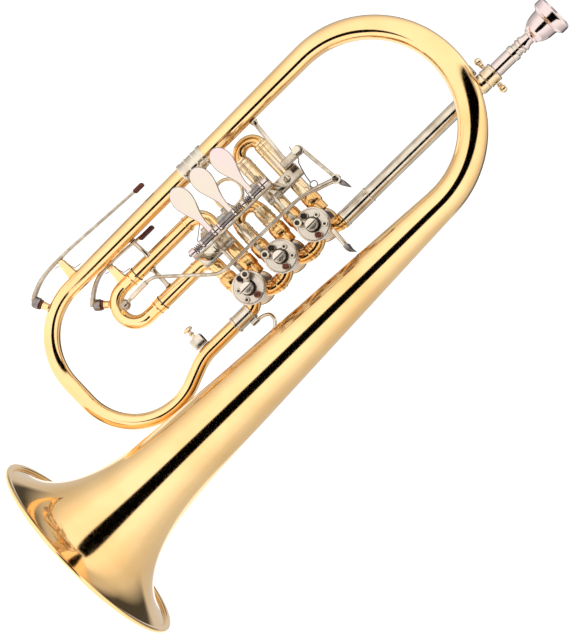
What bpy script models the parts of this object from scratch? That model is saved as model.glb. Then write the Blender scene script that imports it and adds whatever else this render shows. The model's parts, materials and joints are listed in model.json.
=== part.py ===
"""A rotary-valve flugelhorn standing on its bell, as separate sub-parts.

All sizes are in millimetres and become metres in world(). Design x is measured from the bell
axis, y runs from the touch plates (negative) to the valve caps, z is the height above the rim.
"""

from math import cos, exp, hypot, pi, radians, sin, sqrt

import bmesh
import bpy
from mathutils import Matrix, Vector

MM = 0.001
GAP = 0.3  # clearance between parts that touch on the real horn
BELL_X = 40.1  # bell axis, right of the middle of the whole horn

# Bell and main bow
RIM_RADIUS = 77.0
RIM_WIDTH = 4.4
RIM_HEIGHT = 2.8
RIM_ROUND = 0.8
BELL_WALL = 0.9
BELL_HEIGHT = 332.7
BELL_RINGS = 10
BELL_SIDES = 30
TAIL_RADIUS = 11.5
SKIRT_Z = 1.3  # lowest point of the bell sheet, beside the rim
BOW_Z = 335.7  # middle of the main bow's half circle
BOW_RADIUS = 68.0
TUBE_WALL = 0.8

# Long leg and rear branch
LEG_X = -136.0
LEG_LOW = (-136.5, 10.0, 112.3)
FERRULE_Z = (222.0, 243.0)
FERRULE_RADIUS = 7.8
REAR_LEFT_CENTRE = (-90.5, 112.3)
REAR_LEFT_RADIUS = 46.0
REAR_RIGHT_CENTRE = (-73.6, 110.0)
REAR_RIGHT_RADIUS = 43.5
REAR_RADII = (6.6, 5.1)
NECK_LEAN = 22.0  # degrees that the neck leans towards the valves
NECK_STRAIGHT = 12.5
NECK_RADIUS = 39.0
OUTLET_Z = (175.5, 191.0)
OUTLET_RADIUS = 6.35

# Valves
VALVE_Y = 18.0
VALVE_X = -50.3
VALVE_Z = (263.5, 233.0, 202.5)
PORT = 8.5  # half the distance between the two slide tubes of a valve
CASING_RADIUS = 11.5
CASING_SIDES = 16
CASING_Y = (4.0, 32.0)
CASING_FLOOR = 2.5
CASING_BORE = 9.55
ROTOR_RADIUS = 9.2
ROTOR_Y = (6.9, 30.0)
SPINDLE_RADIUS = 2.9
SPINDLE_HOLE = 3.3
PASSAGE_OFFSET = 7.6
PASSAGE_RADIUS = 4.2
PIPE_RADIUS = 5.3
PIPE_BORE = 4.75
PIPE_X = -40.8  # leadpipe and the crooks between the valves
CROOK_REACH = 15.1
PLATE_Y = (0.6, 3.7)
PLATE_RADIUS = 11.8
ARM_Y = (-4.5, -1.1)
PIN_RADIUS = 9.0  # stop-arm pin from the rotor axis
PIN_ANGLE = 220.0
BUMPER_ANGLES = (183.0, 347.0)
BUMPER_PLACE = 8.0
STOP_SCREWS = ((-3.0, 6.2), (5.2, 6.2))

# Touch levers
HINGE_X = -88.1
HINGE_Y = -30.8
CRANK = 24.6
CRANK_REST = 20.0
CRANK_HALF = 1.2
LINK_Y = -6.9
LINK_HALF = 1.5
LINK_EYE = 2.15
BARRELS = ((250.5, 261.5), (221.0, 236.5), (204.5, 217.5))
STEMS = (253.2, 234.5, 215.7)
KNUCKLES = ((194.5, 198.7), (217.8, 220.7), (242.5, 245.0), (261.8, 266.0))
SPRING_SPANS = ((245.65, 249.85), (241.85, 237.15), (199.35, 203.85))  # fixed end, lever end
SPRING_WIRE = 0.35
SPRING_MEAN = 2.35
BARREL_RADIUS = 2.8
ROD_RADIUS = 1.3
ROD_HOLE = 1.65
TOUCH_Y = (-33.5, -31.7)
TOUCH_LENGTH = 40.0
TOUCH_NECK = 8.0
TOUCH_NECK_HALF = 1.7
TOUCH_WIDE = 30.0
TOUCH_HALF = 7.0
FRAME_BAR_X = (-84.8, -83.2)
FOOT_Y = (10.8, 12.3)  # soldered feet, against the slide tubes

# Slides
LEG_RADIUS = 4.4
SLIDE_WALL = 0.7
STEP = 0.4  # shoulder between a slide leg and its sleeve
SLIDE_BOW_DEPTH = 7.0
SLIDE_BOW_RADIUS = 4.5
SLIDE_1_X = -114.1
SLIDE_2_X = -80.8
SLIDE_3_START = -70.0
SLIDE_3_X = (-113.1, -86.6)
SLIDE_3_JOINT = 146.0
SLIDE_3_CENTRE_Z = 136.2
SLIDE_3_LEG = 36.0
SLIDE_3_BRACE_Z = 160.5
LEG_STAY_Z = 165.1
PULL_RING = (-108.2, 18.0, 233.5)
PULL_RING_RADIUS = 9.8
PULL_RING_WIRE = 1.3

# Third-slide trigger
TRIGGER_PIVOT = (-91.2, 291.7)
TRIGGER_END = (-59.2, 297.5)
TRIGGER_Y = (-11.6, -8.6)
TRIGGER_PIN = 1.2
TRIGGER_WIRE = 0.4
POST_Z = (276.0, 281.0)
ROD_Y = -13.8
BALL = (-102.0, 8.0, 131.6)
BALL_RADIUS = 4.0

# Water keys: pivot and the direction in which the cup stands from its bow's centre
KEY_1_PIVOT = (-152.9, 119.1)
KEY_1_Y = 9.6
KEY_1_ANGLE = 203.9
KEY_2_PIVOT = (-127.6, 140.2)
KEY_2_ANGLE = 230.3
KEY_HALF = 2.5
KEY_THICK = 2.1
KEY_PIN = 0.9
KEY_WIRE = 0.3

# Mouthpiece end
LEADPIPE_RADIUS = 5.4
RECEIVER_Z = (404.5, 411.4)
RECEIVER_RADIUS = 6.5
CLAMP_Z = (411.8, 420.5)
CLAMP_RADIUS = 7.0
RECEIVER_BORE = 4.75
MOUTHPIPE_LOW = 372.0
MOUTHPIPE_TOP = 439.0
MOUTHPIECE_TOP = 476.5
RIM_OF_CUP = 13.4

# Lyre holder and finger hook
LYRE_AT = (-50.4, 149.5)
LYRE_HALF = 4.0
LYRE_BORE = 2.7
HOOK_Z = 269.7

GOLD, NICKEL, SILVER = "gold_brass", "nickel_silver", "silver_plate"
STEEL, CORK = "dark_steel", "cork"
FINISHES = {  # colour, roughness, metallic
    GOLD: ((0.78, 0.50, 0.17, 1), 0.2, 1.0),
    NICKEL: ((0.76, 0.71, 0.62, 1), 0.22, 1.0),
    SILVER: ((0.88, 0.82, 0.79, 1), 0.16, 1.0),
    STEEL: ((0.30, 0.28, 0.26, 1), 0.35, 1.0),
    CORK: ((0.27, 0.10, 0.05, 1), 0.85, 0.0),
}


def world(point):
    """A design point in millimetres as a world point in metres."""
    x, y, z = point
    return Vector((x + BELL_X, y, z)) * MM


def clear_scene():
    for item in list(bpy.data.objects):
        bpy.data.objects.remove(item)


def finish_material(name):
    if name in bpy.data.materials:
        return bpy.data.materials[name]
    colour, roughness, metallic = FINISHES[name]
    material = bpy.data.materials.new(name)
    material.use_nodes = True
    shader = material.node_tree.nodes["Principled BSDF"]
    shader.inputs["Base Color"].default_value = colour
    shader.inputs["Roughness"].default_value = roughness
    shader.inputs["Metallic"].default_value = metallic
    return material


def add_object(name, bm, finish):
    """Turns a bmesh in world metres into a named, smooth object."""
    bmesh.ops.remove_doubles(bm, verts=bm.verts, dist=1e-7)
    bmesh.ops.recalc_face_normals(bm, faces=bm.faces)
    mesh = bpy.data.meshes.new(name)
    bm.to_mesh(mesh)
    bm.free()
    mesh.shade_smooth()
    mesh.set_sharp_from_angle(angle=radians(40))
    thing = bpy.data.objects.new(name, mesh)
    bpy.context.collection.objects.link(thing)
    mesh.materials.append(finish_material(finish))
    return thing


def tube(name, path, radii, finish, wall=None, sides=10):
    """A round tube along a path, or a round bar where no wall is given."""
    if not hasattr(radii, "__len__"):
        radii = [radii] * len(path)
    curve = bpy.data.curves.new(name + "_path", "CURVE")
    curve.dimensions = "3D"
    curve.bevel_depth = MM
    curve.bevel_resolution = (sides - 4) // 2
    curve.use_fill_caps = wall is None
    spline = curve.splines.new("POLY")
    spline.points.add(len(path) - 1)
    for point, place, radius in zip(spline.points, path, radii):
        point.co = (*world(place), 1)
        point.radius = radius
    guide = bpy.data.objects.new(name + "_path", curve)
    bm = bmesh.new()
    bm.from_mesh(bpy.data.meshes.new_from_object(guide))
    bpy.data.objects.remove(guide)
    thing = add_object(name, bm, finish)
    if wall is not None:
        shell = thing.modifiers.new("wall", "SOLIDIFY")
        shell.thickness = wall * MM
        shell.offset = -1
    return thing


def turned(name, profile, centre, finish, axis=(0, 0, 1), closed=False, steps=16):
    """A lathe piece: (radius, height) points spun about an axis through centre.

    A closed profile makes a ring, an open one starts and ends on the axis.
    """
    bm = bmesh.new()
    points = [bm.verts.new((radius, 0, height)) for radius, height in profile]
    pairs = list(zip(points, points[1:]))
    if closed:
        pairs.append((points[-1], points[0]))
    edges = [bm.edges.new(pair) for pair in pairs]
    bmesh.ops.spin(
        bm, geom=points + edges, cent=(0, 0, 0), axis=(0, 0, 1), angle=2 * pi, steps=steps
    )
    bmesh.ops.remove_doubles(bm, verts=bm.verts, dist=0.005)
    turn = Vector((0, 0, 1)).rotation_difference(Vector(axis)).to_matrix().to_4x4()
    move = Matrix.Translation(world(centre)) @ turn @ Matrix.Scale(MM, 4)
    bmesh.ops.transform(bm, matrix=move, verts=bm.verts)
    return add_object(name, bm, finish)


def drum(name, start, end, radius, finish, steps=10):
    """A plain cylinder between two points."""
    along = Vector(end) - Vector(start)
    profile = ((0, 0), (radius, 0), (radius, along.length), (0, along.length))
    return turned(name, profile, start, finish, axis=along.normalized(), steps=steps)


def upright_drum(name, x, y, span, radius, finish, steps=10):
    """A cylinder that stands along z."""
    return drum(name, (x, y, span[0]), (x, y, span[1]), radius, finish, steps)


def cross_drum(name, x, span, z, radius, finish, steps=10):
    """A cylinder that lies along y."""
    return drum(name, (x, span[0], z), (x, span[1], z), radius, finish, steps)


def block(name, low, high, finish):
    """A box between two corners."""
    bm = bmesh.new()
    bmesh.ops.create_cube(bm, size=1)
    size = [(b - a) * MM for a, b in zip(low, high)]
    middle = [(a + b) / 2 for a, b in zip(low, high)]
    move = Matrix.Translation(world(middle)) @ Matrix.Diagonal((*size, 1))
    bmesh.ops.transform(bm, matrix=move, verts=bm.verts)
    return add_object(name, bm, finish)


def slab(name, outline, depth, finish):
    """An (x, z) outline extruded between two y values."""
    bm = bmesh.new()
    near, far = depth
    face = bm.faces.new([bm.verts.new(world((x, near, z))) for x, z in outline])
    grown = bmesh.ops.extrude_face_region(bm, geom=[face])["geom"]
    moved = [item for item in grown if isinstance(item, bmesh.types.BMVert)]
    bmesh.ops.translate(bm, vec=(0, (far - near) * MM, 0), verts=moved)
    return add_object(name, bm, finish)


def strap(name, line, thickness, depth, finish):
    """A flat bar that follows an (x, z) line, extruded between two y values."""
    left, right = [], []
    for i, (x, z) in enumerate(line):
        x0, z0 = line[max(i - 1, 0)]
        x1, z1 = line[min(i + 1, len(line) - 1)]
        length = hypot(x1 - x0, z1 - z0)
        side_x = -(z1 - z0) / length * thickness / 2
        side_z = (x1 - x0) / length * thickness / 2
        left.append((x + side_x, z + side_z))
        right.append((x - side_x, z - side_z))
    return slab(name, left + right[::-1], depth, finish)


def combine(thing, others, operation):
    for other in others:
        change = thing.modifiers.new(other.name, "BOOLEAN")
        change.operation = operation
        change.object = other
        other.hide_render = True
        other.display_type = "WIRE"
    return thing


def fuse(thing, *others):
    return combine(thing, others, "UNION")


def cut(thing, *others):
    return combine(thing, others, "DIFFERENCE")


def set_origin(thing, point):
    """Puts an object's origin on its joint axis and leaves its shape where it is."""
    place = world(point)
    thing.data.transform(Matrix.Translation(-place))
    thing.location = place


def polar(centre, radius, angle):
    """A point of the x-z plane at an angle in degrees, from +x towards +z."""
    x, z = centre
    return x + radius * cos(radians(angle)), z + radius * sin(radians(angle))


def arc(centre, radius, start, end, count):
    """Points of an arc in the x-z plane, ends included."""
    return [polar(centre, radius, start + (end - start) * i / count) for i in range(count + 1)]


def mix(a, b, share):
    return a + (b - a) * share


def lengthened(path, more):
    """The same path, run on past both of its ends."""
    first, second, before, last = (Vector(path[i]) for i in (0, 1, -2, -1))
    start = first + (first - second).normalized() * more
    end = last + (last - before).normalized() * more
    return [tuple(start), *path[1:-1], tuple(end)]


def leg_point(z):
    """The long leg's centre line, which leans back as it goes down."""
    down = (BOW_Z - z) / (BOW_Z - LEG_LOW[2])
    return mix(LEG_X, LEG_LOW[0], down), LEG_LOW[1] * down, z


def bell_radius(z):
    """A straight cone that flares out exponentially towards the rim."""
    cone = TAIL_RADIUS + 0.055 * (BELL_HEIGHT - z)
    return cone + 35.0 * exp(-z / 25.0) + 12.1 * exp(-z / 4.0)


def make_bell():
    outer, inner = [], []
    for i in range(BELL_RINGS + 1):
        z = mix(SKIRT_Z, BELL_HEIGHT, (i / BELL_RINGS) ** 2.6)
        slope = (bell_radius(z + 0.1) - bell_radius(z - 0.1)) / 0.2
        length = hypot(1, slope)
        outer.append((bell_radius(z), z))
        inner.append((bell_radius(z) - BELL_WALL / length, z + BELL_WALL * slope / length))
    turned("bell", outer + inner[::-1], (0, 0, 0), GOLD, closed=True, steps=BELL_SIDES)
    low = RIM_RADIUS - RIM_WIDTH
    profile = (
        (low + RIM_ROUND, 0),
        (RIM_RADIUS - RIM_ROUND, 0),
        (RIM_RADIUS, RIM_ROUND),
        (RIM_RADIUS, RIM_HEIGHT - RIM_ROUND),
        (RIM_RADIUS - RIM_ROUND, RIM_HEIGHT),
        (low + RIM_ROUND, RIM_HEIGHT),
        (low, RIM_HEIGHT - RIM_ROUND),
        (low, RIM_ROUND),
    )
    turned("bell_rim", profile, (0, 0, 0), GOLD, closed=True, steps=BELL_SIDES)


def make_main_bow():
    bends = 12
    leg_radius = 7.5
    turns = arc((-BOW_RADIUS, BOW_Z), BOW_RADIUS, 0, 180, bends)
    path = [(0, 0, BELL_HEIGHT + GAP)] + [(x, 0, z) for x, z in turns]
    radii = [mix(TAIL_RADIUS, leg_radius, (i / bends) ** 0.8) for i in range(bends + 1)]
    joint = sum(FERRULE_Z) / 2
    path += [leg_point(FERRULE_Z[1]), leg_point(joint + GAP / 2)]
    radii = [TAIL_RADIUS, *radii, 6.75, 6.7]
    tube("main_bow", path, radii, GOLD, TUBE_WALL, sides=12)
    ends = [leg_point(z) for z in FERRULE_Z]
    tube("leg_ferrule", ends, FERRULE_RADIUS, NICKEL, 0.5, sides=12)


def make_rear_branch():
    path = [leg_point(sum(FERRULE_Z) / 2 - GAP / 2)]
    left = arc(REAR_LEFT_CENTRE, REAR_LEFT_RADIUS, 180, 270, 6)
    right = arc(REAR_RIGHT_CENTRE, REAR_RIGHT_RADIUS, 270, 360 + NECK_LEAN, 7)
    bends = left + right
    for i, (x, z) in enumerate(bends):
        path.append((x, mix(LEG_LOW[1], VALVE_Y, i / (len(bends) - 1)), z))
    x, z = bends[-1]
    x -= NECK_STRAIGHT * sin(radians(NECK_LEAN))
    z += NECK_STRAIGHT * cos(radians(NECK_LEAN))
    centre = polar((x, z), NECK_RADIUS, NECK_LEAN)
    neck = arc(centre, NECK_RADIUS, 180 + NECK_LEAN, 180, 2)
    path += [(px, VALVE_Y, pz) for px, pz in neck]
    path.append((PIPE_X, VALVE_Y, VALVE_Z[2] - CROOK_REACH - GAP))
    last = len(path) - 1
    radii = [mix(*REAR_RADII, (i / last) ** 0.9) for i in range(last + 1)]
    branch = tube("rear_branch", path, radii, GOLD, TUBE_WALL)
    nipple, bore = key_nipple("nipple_1", REAR_LEFT_CENTRE, (51.3, 56.2), KEY_1_ANGLE, KEY_1_Y + 1)
    ears = key_ears("ears_1", KEY_1_PIVOT, KEY_1_Y, LEG_LOW[0], 6.3)
    cut(fuse(branch, nipple, *ears), bore)
    ends = [(PIPE_X, VALVE_Y, z) for z in OUTLET_Z]
    tube("outlet_ferrule", ends, OUTLET_RADIUS, NICKEL, 0.45, sides=12)


def key_nipple(name, centre, span, angle, y):
    """The drain spout of a water key, and the bore that opens it."""
    start, end = span
    ends = []
    for radius in (start, end, start - 3.0, end + 1.0):
        x, z = polar(centre, radius, angle)
        ends.append((x, y, z))
    spout = drum(name, ends[0], ends[1], 2.9, GOLD, steps=8)
    bore = drum(name + "_bore", ends[2], ends[3], 1.5, GOLD, steps=6)
    return spout, bore


def key_ears(name, pivot, y, tube_x, tube_radius):
    """The two saddle ears that carry a water key's pin, with the pin between them."""
    x, z = pivot
    reach, half = x - 1.6, 2.4
    rooted = tube_radius - TUBE_WALL / 2
    parts = []
    for tag, near, far in (("a", -2.6, -1.3), ("b", 3.6, 4.9)):
        root = tube_x - sqrt(rooted**2 - ((near + far) / 2) ** 2)
        low, high = (reach, y + near, z - half), (root, y + far, z + half)
        parts.append(block(f"{name}_{tag}", low, high, GOLD))
    pin = cross_drum(name + "_pin", x, (y - 2.0, y + 4.2), z, KEY_PIN, GOLD, 8)
    return [*parts, pin]


def make_leadpipe():
    top = RECEIVER_Z[0] - GAP
    bottom = VALVE_Z[0] + CROOK_REACH + GAP
    ends = [(PIPE_X, VALVE_Y, z) for z in (bottom, top)]
    tube("leadpipe", ends, LEADPIPE_RADIUS, NICKEL, 0.65, sides=12)
    foot = (PIPE_X, VALVE_Y, 0)
    low, high = RECEIVER_Z
    bore, round_off = RECEIVER_BORE, 0.7
    collar = ((bore, low), (RECEIVER_RADIUS, low), (RECEIVER_RADIUS, high), (bore, high))
    turned("mouthpipe_receiver", collar, foot, NICKEL, closed=True)
    low, high = CLAMP_Z
    ring = (
        (bore, low),
        (CLAMP_RADIUS - round_off, low),
        (CLAMP_RADIUS, low + round_off),
        (CLAMP_RADIUS, high - round_off),
        (CLAMP_RADIUS - round_off, high),
        (bore, high),
    )
    clamp = turned("receiver_clamp", ring, foot, NICKEL, closed=True)
    slit_low = (PIPE_X - 0.5, VALVE_Y + 3.0, low - 1)
    slit_high = (PIPE_X + 0.5, VALVE_Y + 9.0, high + 1)
    cut(clamp, block("clamp_slit", slit_low, slit_high, NICKEL))
    make_clamp_screws((low + high) / 2)
    low = (-56.0, 9.5, 402.5)
    high = (PIPE_X - RECEIVER_RADIUS - GAP, 16.5, 410.8)
    block("leadpipe_brace", low, high, NICKEL)


def make_clamp_screws(z):
    """Two screws with a small ball and a larger ball in line, one each side of the clamp."""
    profile = [(0, 0), (1.5, 0), (1.5, 0.5)]
    for place, radius in ((1.9, 2.0), (5.0, 2.75)):
        for angle in (-50, 0, 50):
            along, out = sin(radians(angle)), cos(radians(angle))
            profile.append((radius * out, place + radius * along))
    profile.append((0, 7.75))
    for name, side in (("clamp_screw_left", -1), ("clamp_screw_right", 1)):
        seat = (PIPE_X + side * (CLAMP_RADIUS + GAP), VALVE_Y, z)
        screw = turned(name, profile, seat, NICKEL, axis=(side, 0, 0), steps=10)
        set_origin(screw, seat)


def make_mouthpiece():
    shank, sleeve, bore, socket = 4.4, 5.2, 3.4, 4.45
    shoulder, socket_floor = 421.2, 419.0
    pipe = (
        (bore, MOUTHPIPE_LOW),
        (shank, MOUTHPIPE_LOW),
        (shank, shoulder - GAP),
        (sleeve, shoulder),
        (sleeve, MOUTHPIPE_TOP),
        (socket, MOUTHPIPE_TOP),
        (socket, socket_floor),
        (bore, socket_floor),
    )
    axis_foot = (PIPE_X, VALVE_Y, 0)
    joint = (PIPE_X, VALVE_Y, MOUTHPIPE_TOP)
    set_origin(turned("tuning_mouthpipe", pipe, axis_foot, SILVER, closed=True, steps=14), joint)
    seat = MOUTHPIPE_TOP + GAP
    top, end = MOUTHPIECE_TOP, socket_floor + 1
    outer = [
        (4.05, end), (4.05, seat), (4.9, seat), (4.9, 442), (5.4, 443), (5.4, 447),
        (4.4, 449), (4.2, 453), (6.6, 455.5), (9.3, 461), (10.0, 468),
        (RIM_OF_CUP, 469.2), (RIM_OF_CUP, top - 1.8), (RIM_OF_CUP - 2.2, top),
    ]
    inner = [(9.6, top), (8.4, top - 2.0), (7.0, 462), (2.4, 448), (3.2, end)]
    set_origin(turned("mouthpiece", outer + inner, axis_foot, SILVER, closed=True, steps=14), joint)


def crook_path(z, side):
    """From inside a casing, out of a bell-side port and into line with the leadpipe."""
    offset = PIPE_X - VALVE_X
    steps = ((4.5, 4.5), (7.8, 7.8), (offset, 11.5), (offset, CROOK_REACH))
    return [(VALVE_X + x, VALVE_Y, z + side * dz) for x, dz in steps]


def make_casing(number, z, slide_end):
    name = f"valve_casing_{number}"
    near, far = CASING_Y
    casing = cross_drum(name, VALVE_X, CASING_Y, z, CASING_RADIUS, GOLD, CASING_SIDES)
    joined, bored = [], []
    for side, tag in ((1, "upper"), (-1, "lower")):
        tube_z = z + side * PORT
        straight = [(VALVE_X - 4, VALVE_Y, tube_z), (slide_end, VALVE_Y, tube_z)]
        runs = (("slide", straight, 10), ("crook", crook_path(z, side), 8))
        for kind, path, bore_sides in runs:
            run = f"{name}_{tag}_{kind}"
            joined.append(tube(run, path, PIPE_RADIUS, GOLD))
            longer = lengthened(path, 1.0)
            bored.append(tube(run + "_bore", longer, PIPE_BORE, GOLD, sides=bore_sides))
    floor = near + CASING_FLOOR
    profile = (
        (0, near - 1),
        (SPINDLE_HOLE, near - 1),
        (SPINDLE_HOLE, floor),
        (CASING_BORE, floor),
        (CASING_BORE, far + 1),
        (0, far + 1),
    )
    centre = (VALVE_X, 0, z)
    chamber = turned(f"{name}_chamber", profile, centre, GOLD, axis=(0, 1, 0), steps=CASING_SIDES)
    cut(fuse(casing, *joined), *bored, chamber)


def make_rotor(number, z):
    near, far = ROTOR_Y
    start, end, tail_radius = -0.8, 33.3, 2.5
    profile = (
        (0, start),
        (SPINDLE_RADIUS, start),
        (SPINDLE_RADIUS, near),
        (ROTOR_RADIUS, near),
        (ROTOR_RADIUS, far),
        (tail_radius, far),
        (tail_radius, end),
        (0, end),
    )
    name = f"rotor_{number}"
    rotor = turned(name, profile, (VALVE_X, 0, z), GOLD, axis=(0, 1, 0), steps=CASING_SIDES)
    for side, tag in ((1, "right"), (-1, "left")):
        x = VALVE_X + side * PASSAGE_OFFSET
        span = (z - ROTOR_RADIUS - 3, z + ROTOR_RADIUS + 3)
        cut(rotor, upright_drum(f"{name}_{tag}_passage", x, VALVE_Y, span, PASSAGE_RADIUS, GOLD, 8))
    set_origin(rotor, (VALVE_X, VALVE_Y, z))


def make_cap(number, z):
    low = CASING_Y[1] + GAP
    profile = (
        (0, low + 2.0), (3.1, low + 2.0), (3.1, low), (11.9, low), (11.9, low + 3.2),
        (10.4, low + 4.8), (3.6, low + 5.0), (2.8, low + 5.8), (0, low + 5.8),
    )
    centre = (VALVE_X, 0, z)
    turned(f"valve_cap_{number}", profile, centre, GOLD, axis=(0, 1, 0), steps=CASING_SIDES)


def valve_point(z, radius, angle, mirror):
    """A place on a stop plate; the third valve's linkage is mirrored."""
    x, dz = polar((VALVE_X, 0), radius, angle)
    return x, z + mirror * dz


def make_stop_plate(number, z, mirror):
    near, far = PLATE_Y
    edge, chamfer = PLATE_RADIUS, 0.7
    ring = (
        (SPINDLE_HOLE, near),
        (edge - chamfer, near),
        (edge, near + chamfer),
        (edge, far),
        (SPINDLE_HOLE, far),
    )
    name = f"stop_plate_{number}"
    centre = (VALVE_X, 0, z)
    plate = turned(name, ring, centre, NICKEL, axis=(0, 1, 0), closed=True, steps=CASING_SIDES)
    bosses = []
    for i, angle in enumerate(BUMPER_ANGLES):
        x, bumper_z = valve_point(z, BUMPER_PLACE, angle, mirror)
        span = (-4.0, near + 1)
        bosses.append(cross_drum(f"{name}_bumper_{i}", x, span, bumper_z, 2.0, CORK, 8))
    for i, (dx, dz) in enumerate(STOP_SCREWS):
        span = (-0.6, near + 1)
        bosses.append(
            cross_drum(f"{name}_screw_{i}", VALVE_X + dx, span, z + mirror * dz, 2.0, STEEL, 8)
        )
    fuse(plate, *bosses)


def make_stop_arm(number, z, mirror):
    name = f"stop_arm_{number}"
    near = ARM_Y[0]
    hub = cross_drum(name, VALVE_X, ARM_Y, z, 4.4, NICKEL, 12)
    x, pin_z = valve_point(z, PIN_RADIUS, PIN_ANGLE, mirror)
    bar = strap(f"{name}_bar", [(VALVE_X, z), (x, pin_z)], 4.2, ARM_Y, NICKEL)
    eye = cross_drum(f"{name}_eye", x, ARM_Y, pin_z, 2.4, NICKEL, 8)
    pin = cross_drum(f"{name}_pin", x, (-9.2, near + 1), pin_z, 1.4, NICKEL, 8)
    head = cross_drum(f"{name}_screw", VALVE_X, (-7.0, near + 1), z, 4.2, NICKEL, 12)
    fuse(hub, bar, eye, pin, head)
    set_origin(hub, (VALVE_X, VALVE_Y, z))


def make_link(number, z, mirror):
    name = f"link_{number}"
    x, pin_z = valve_point(z, PIN_RADIUS, PIN_ANGLE, mirror)
    crank_x = HINGE_X - CRANK * sin(radians(CRANK_REST))
    near, far = LINK_Y - LINK_HALF, LINK_Y + LINK_HALF
    low, high = pin_z - LINK_HALF, pin_z + LINK_HALF
    link = cross_drum(name, x, (near, far), pin_z, 3.0, NICKEL)
    bar_low = (crank_x + 2.8, near + 0.3, low + 0.2)
    bar_high = (x - 2.4, far - 0.3, high - 0.2)
    bar = block(f"{name}_bar", bar_low, bar_high, NICKEL)
    eye = upright_drum(f"{name}_eye", crank_x, LINK_Y, (low, high), 3.4, NICKEL)
    pin_hole = cross_drum(f"{name}_hole", x, (near - 1, far + 1), pin_z, 1.9, NICKEL, 8)
    span = (low - 1, high + 1)
    eye_hole = upright_drum(f"{name}_eye_hole", crank_x, LINK_Y, span, LINK_EYE, NICKEL, 8)
    cut(fuse(link, bar, eye), pin_hole, eye_hole)
    set_origin(link, (x, LINK_Y, pin_z))


def touch_outline(z):
    """A teardrop touch plate: a narrow neck that swells to a rounded end."""
    upper = []
    for i in range(8):
        along = mix(2.0, TOUCH_WIDE, i / 7)
        swell = max(along - TOUCH_NECK, 0) / (TOUCH_WIDE - TOUCH_NECK)
        half = mix(TOUCH_NECK_HALF, TOUCH_HALF, swell * swell * (3 - 2 * swell))
        upper.append((HINGE_X - along, half))
    end = TOUCH_LENGTH - TOUCH_WIDE
    for angle in (25, 50, 72, 90):
        x = HINGE_X - TOUCH_WIDE - end * sin(radians(angle))
        upper.append((x, TOUCH_HALF * cos(radians(angle))))
    lower = [(x, -half) for x, half in upper[-2::-1]]
    return [(x, z + half) for x, half in upper + lower]


def make_lever(number, z, mirror):
    """A touch plate on a hinge barrel, with a forked crank arm that carries the link's pin."""
    name = f"touch_lever_{number}"
    low, high = BARRELS[number - 1]
    lever = upright_drum(name, HINGE_X, HINGE_Y, (low, high), BARREL_RADIUS, SILVER)
    plate = slab(f"{name}_plate", touch_outline(STEMS[number - 1]), TOUCH_Y, SILVER)
    crank = crank_parts(name, z, mirror, low, high)
    span = (low - 2, high + 2)
    hole = upright_drum(f"{name}_hole", HINGE_X, HINGE_Y, span, ROD_HOLE, SILVER, 8)
    cut(fuse(lever, plate, *crank), hole)
    set_origin(lever, (HINGE_X, HINGE_Y, (low + high) / 2))


def crank_parts(name, z, mirror, low, high):
    """Web, arm, fork tines and pin, drawn straight back and then swung to the rest angle."""
    _, link_z = valve_point(z, PIN_RADIUS, PIN_ANGLE, mirror)
    fork_low, fork_high = sorted((link_z + mirror * 3.4, link_z - mirror * 6.6))
    tine = 1.5
    tip = HINGE_Y + CRANK
    left, right = HINGE_X - CRANK_HALF, HINGE_X + CRANK_HALF
    boxes = (  # tag, y span, z span
        ("web", (HINGE_Y + 2.0, HINGE_Y + 12.0), (max(fork_low, low), min(fork_high, high))),
        ("arm", (HINGE_Y + 9.0, tip - 5.2), (fork_low, fork_high)),
        ("low_tine", (tip - 6.2, tip + 1.8), (fork_low, fork_low + tine)),
        ("high_tine", (tip - 6.2, tip + 1.8), (fork_high - tine, fork_high)),
    )
    parts = []
    for tag, (near, far), (bottom, top) in boxes:
        parts.append(block(f"{name}_{tag}", (left, near, bottom), (right, far, top), SILVER))
    span = (fork_low + tine / 2, fork_high - tine / 2)
    parts.append(upright_drum(f"{name}_pin", HINGE_X, tip, span, 1.0, SILVER, 8))
    hinge = world((HINGE_X, HINGE_Y, 0))
    turn = Matrix.Rotation(radians(CRANK_REST), 4, "Z")
    for part in parts:
        part.data.transform(Matrix.Translation(hinge) @ turn @ Matrix.Translation(-hinge))
    return parts


def least_gap(path, radius, apart):
    """The smallest clearance of a wound wire to itself, measured between its points."""
    gaps = [
        (Vector(path[i]) - Vector(path[j])).length - 2 * radius
        for i in range(len(path))
        for j in range(i + apart, len(path))
    ]
    return min(gaps)


def coil(axis, start, end, radius, first, turns, per_turn=8):
    """Points of a helix along z, or along y where the axis gives no y."""
    count = round(turns * per_turn)
    points = []
    for i in range(count + 1):
        angle = radians(first + 360.0 * turns * i / count)
        u, v = radius * cos(angle), radius * sin(angle)
        along = mix(start, end, i / count)
        x, y, z = axis
        points.append((x + u, along, z + v) if y is None else (x + u, y + v, along))
    return points


def wound_spring(name, path, radius):
    print(name, "least gap", round(least_gap(path, radius, 6), 2), "mm")
    return tube(name, path, radius, STEEL, sides=6)


def make_lever_spring(number):
    """A torsion spring: a leg behind the frame bar, the coil, a leg behind the touch plate."""
    start, end = SPRING_SPANS[number - 1]
    back = HINGE_Y + SPRING_MEAN
    tail = [(HINGE_X + 5.0, back, start), (HINGE_X + 2.0, back, start)]
    body = coil((HINGE_X, HINGE_Y, None), start, end, SPRING_MEAN, 90, 3)
    reach = mix(end, STEMS[number - 1], 0.9)
    under = TOUCH_Y[1] + SPRING_WIRE + GAP
    leg = [
        (HINGE_X - 4.0, back - 0.4, end),
        (HINGE_X - 12.0, under, reach),
        (HINGE_X - 13.5, under, reach),
    ]
    wound_spring(f"lever_spring_{number}", tail + body + leg, SPRING_WIRE)


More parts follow.
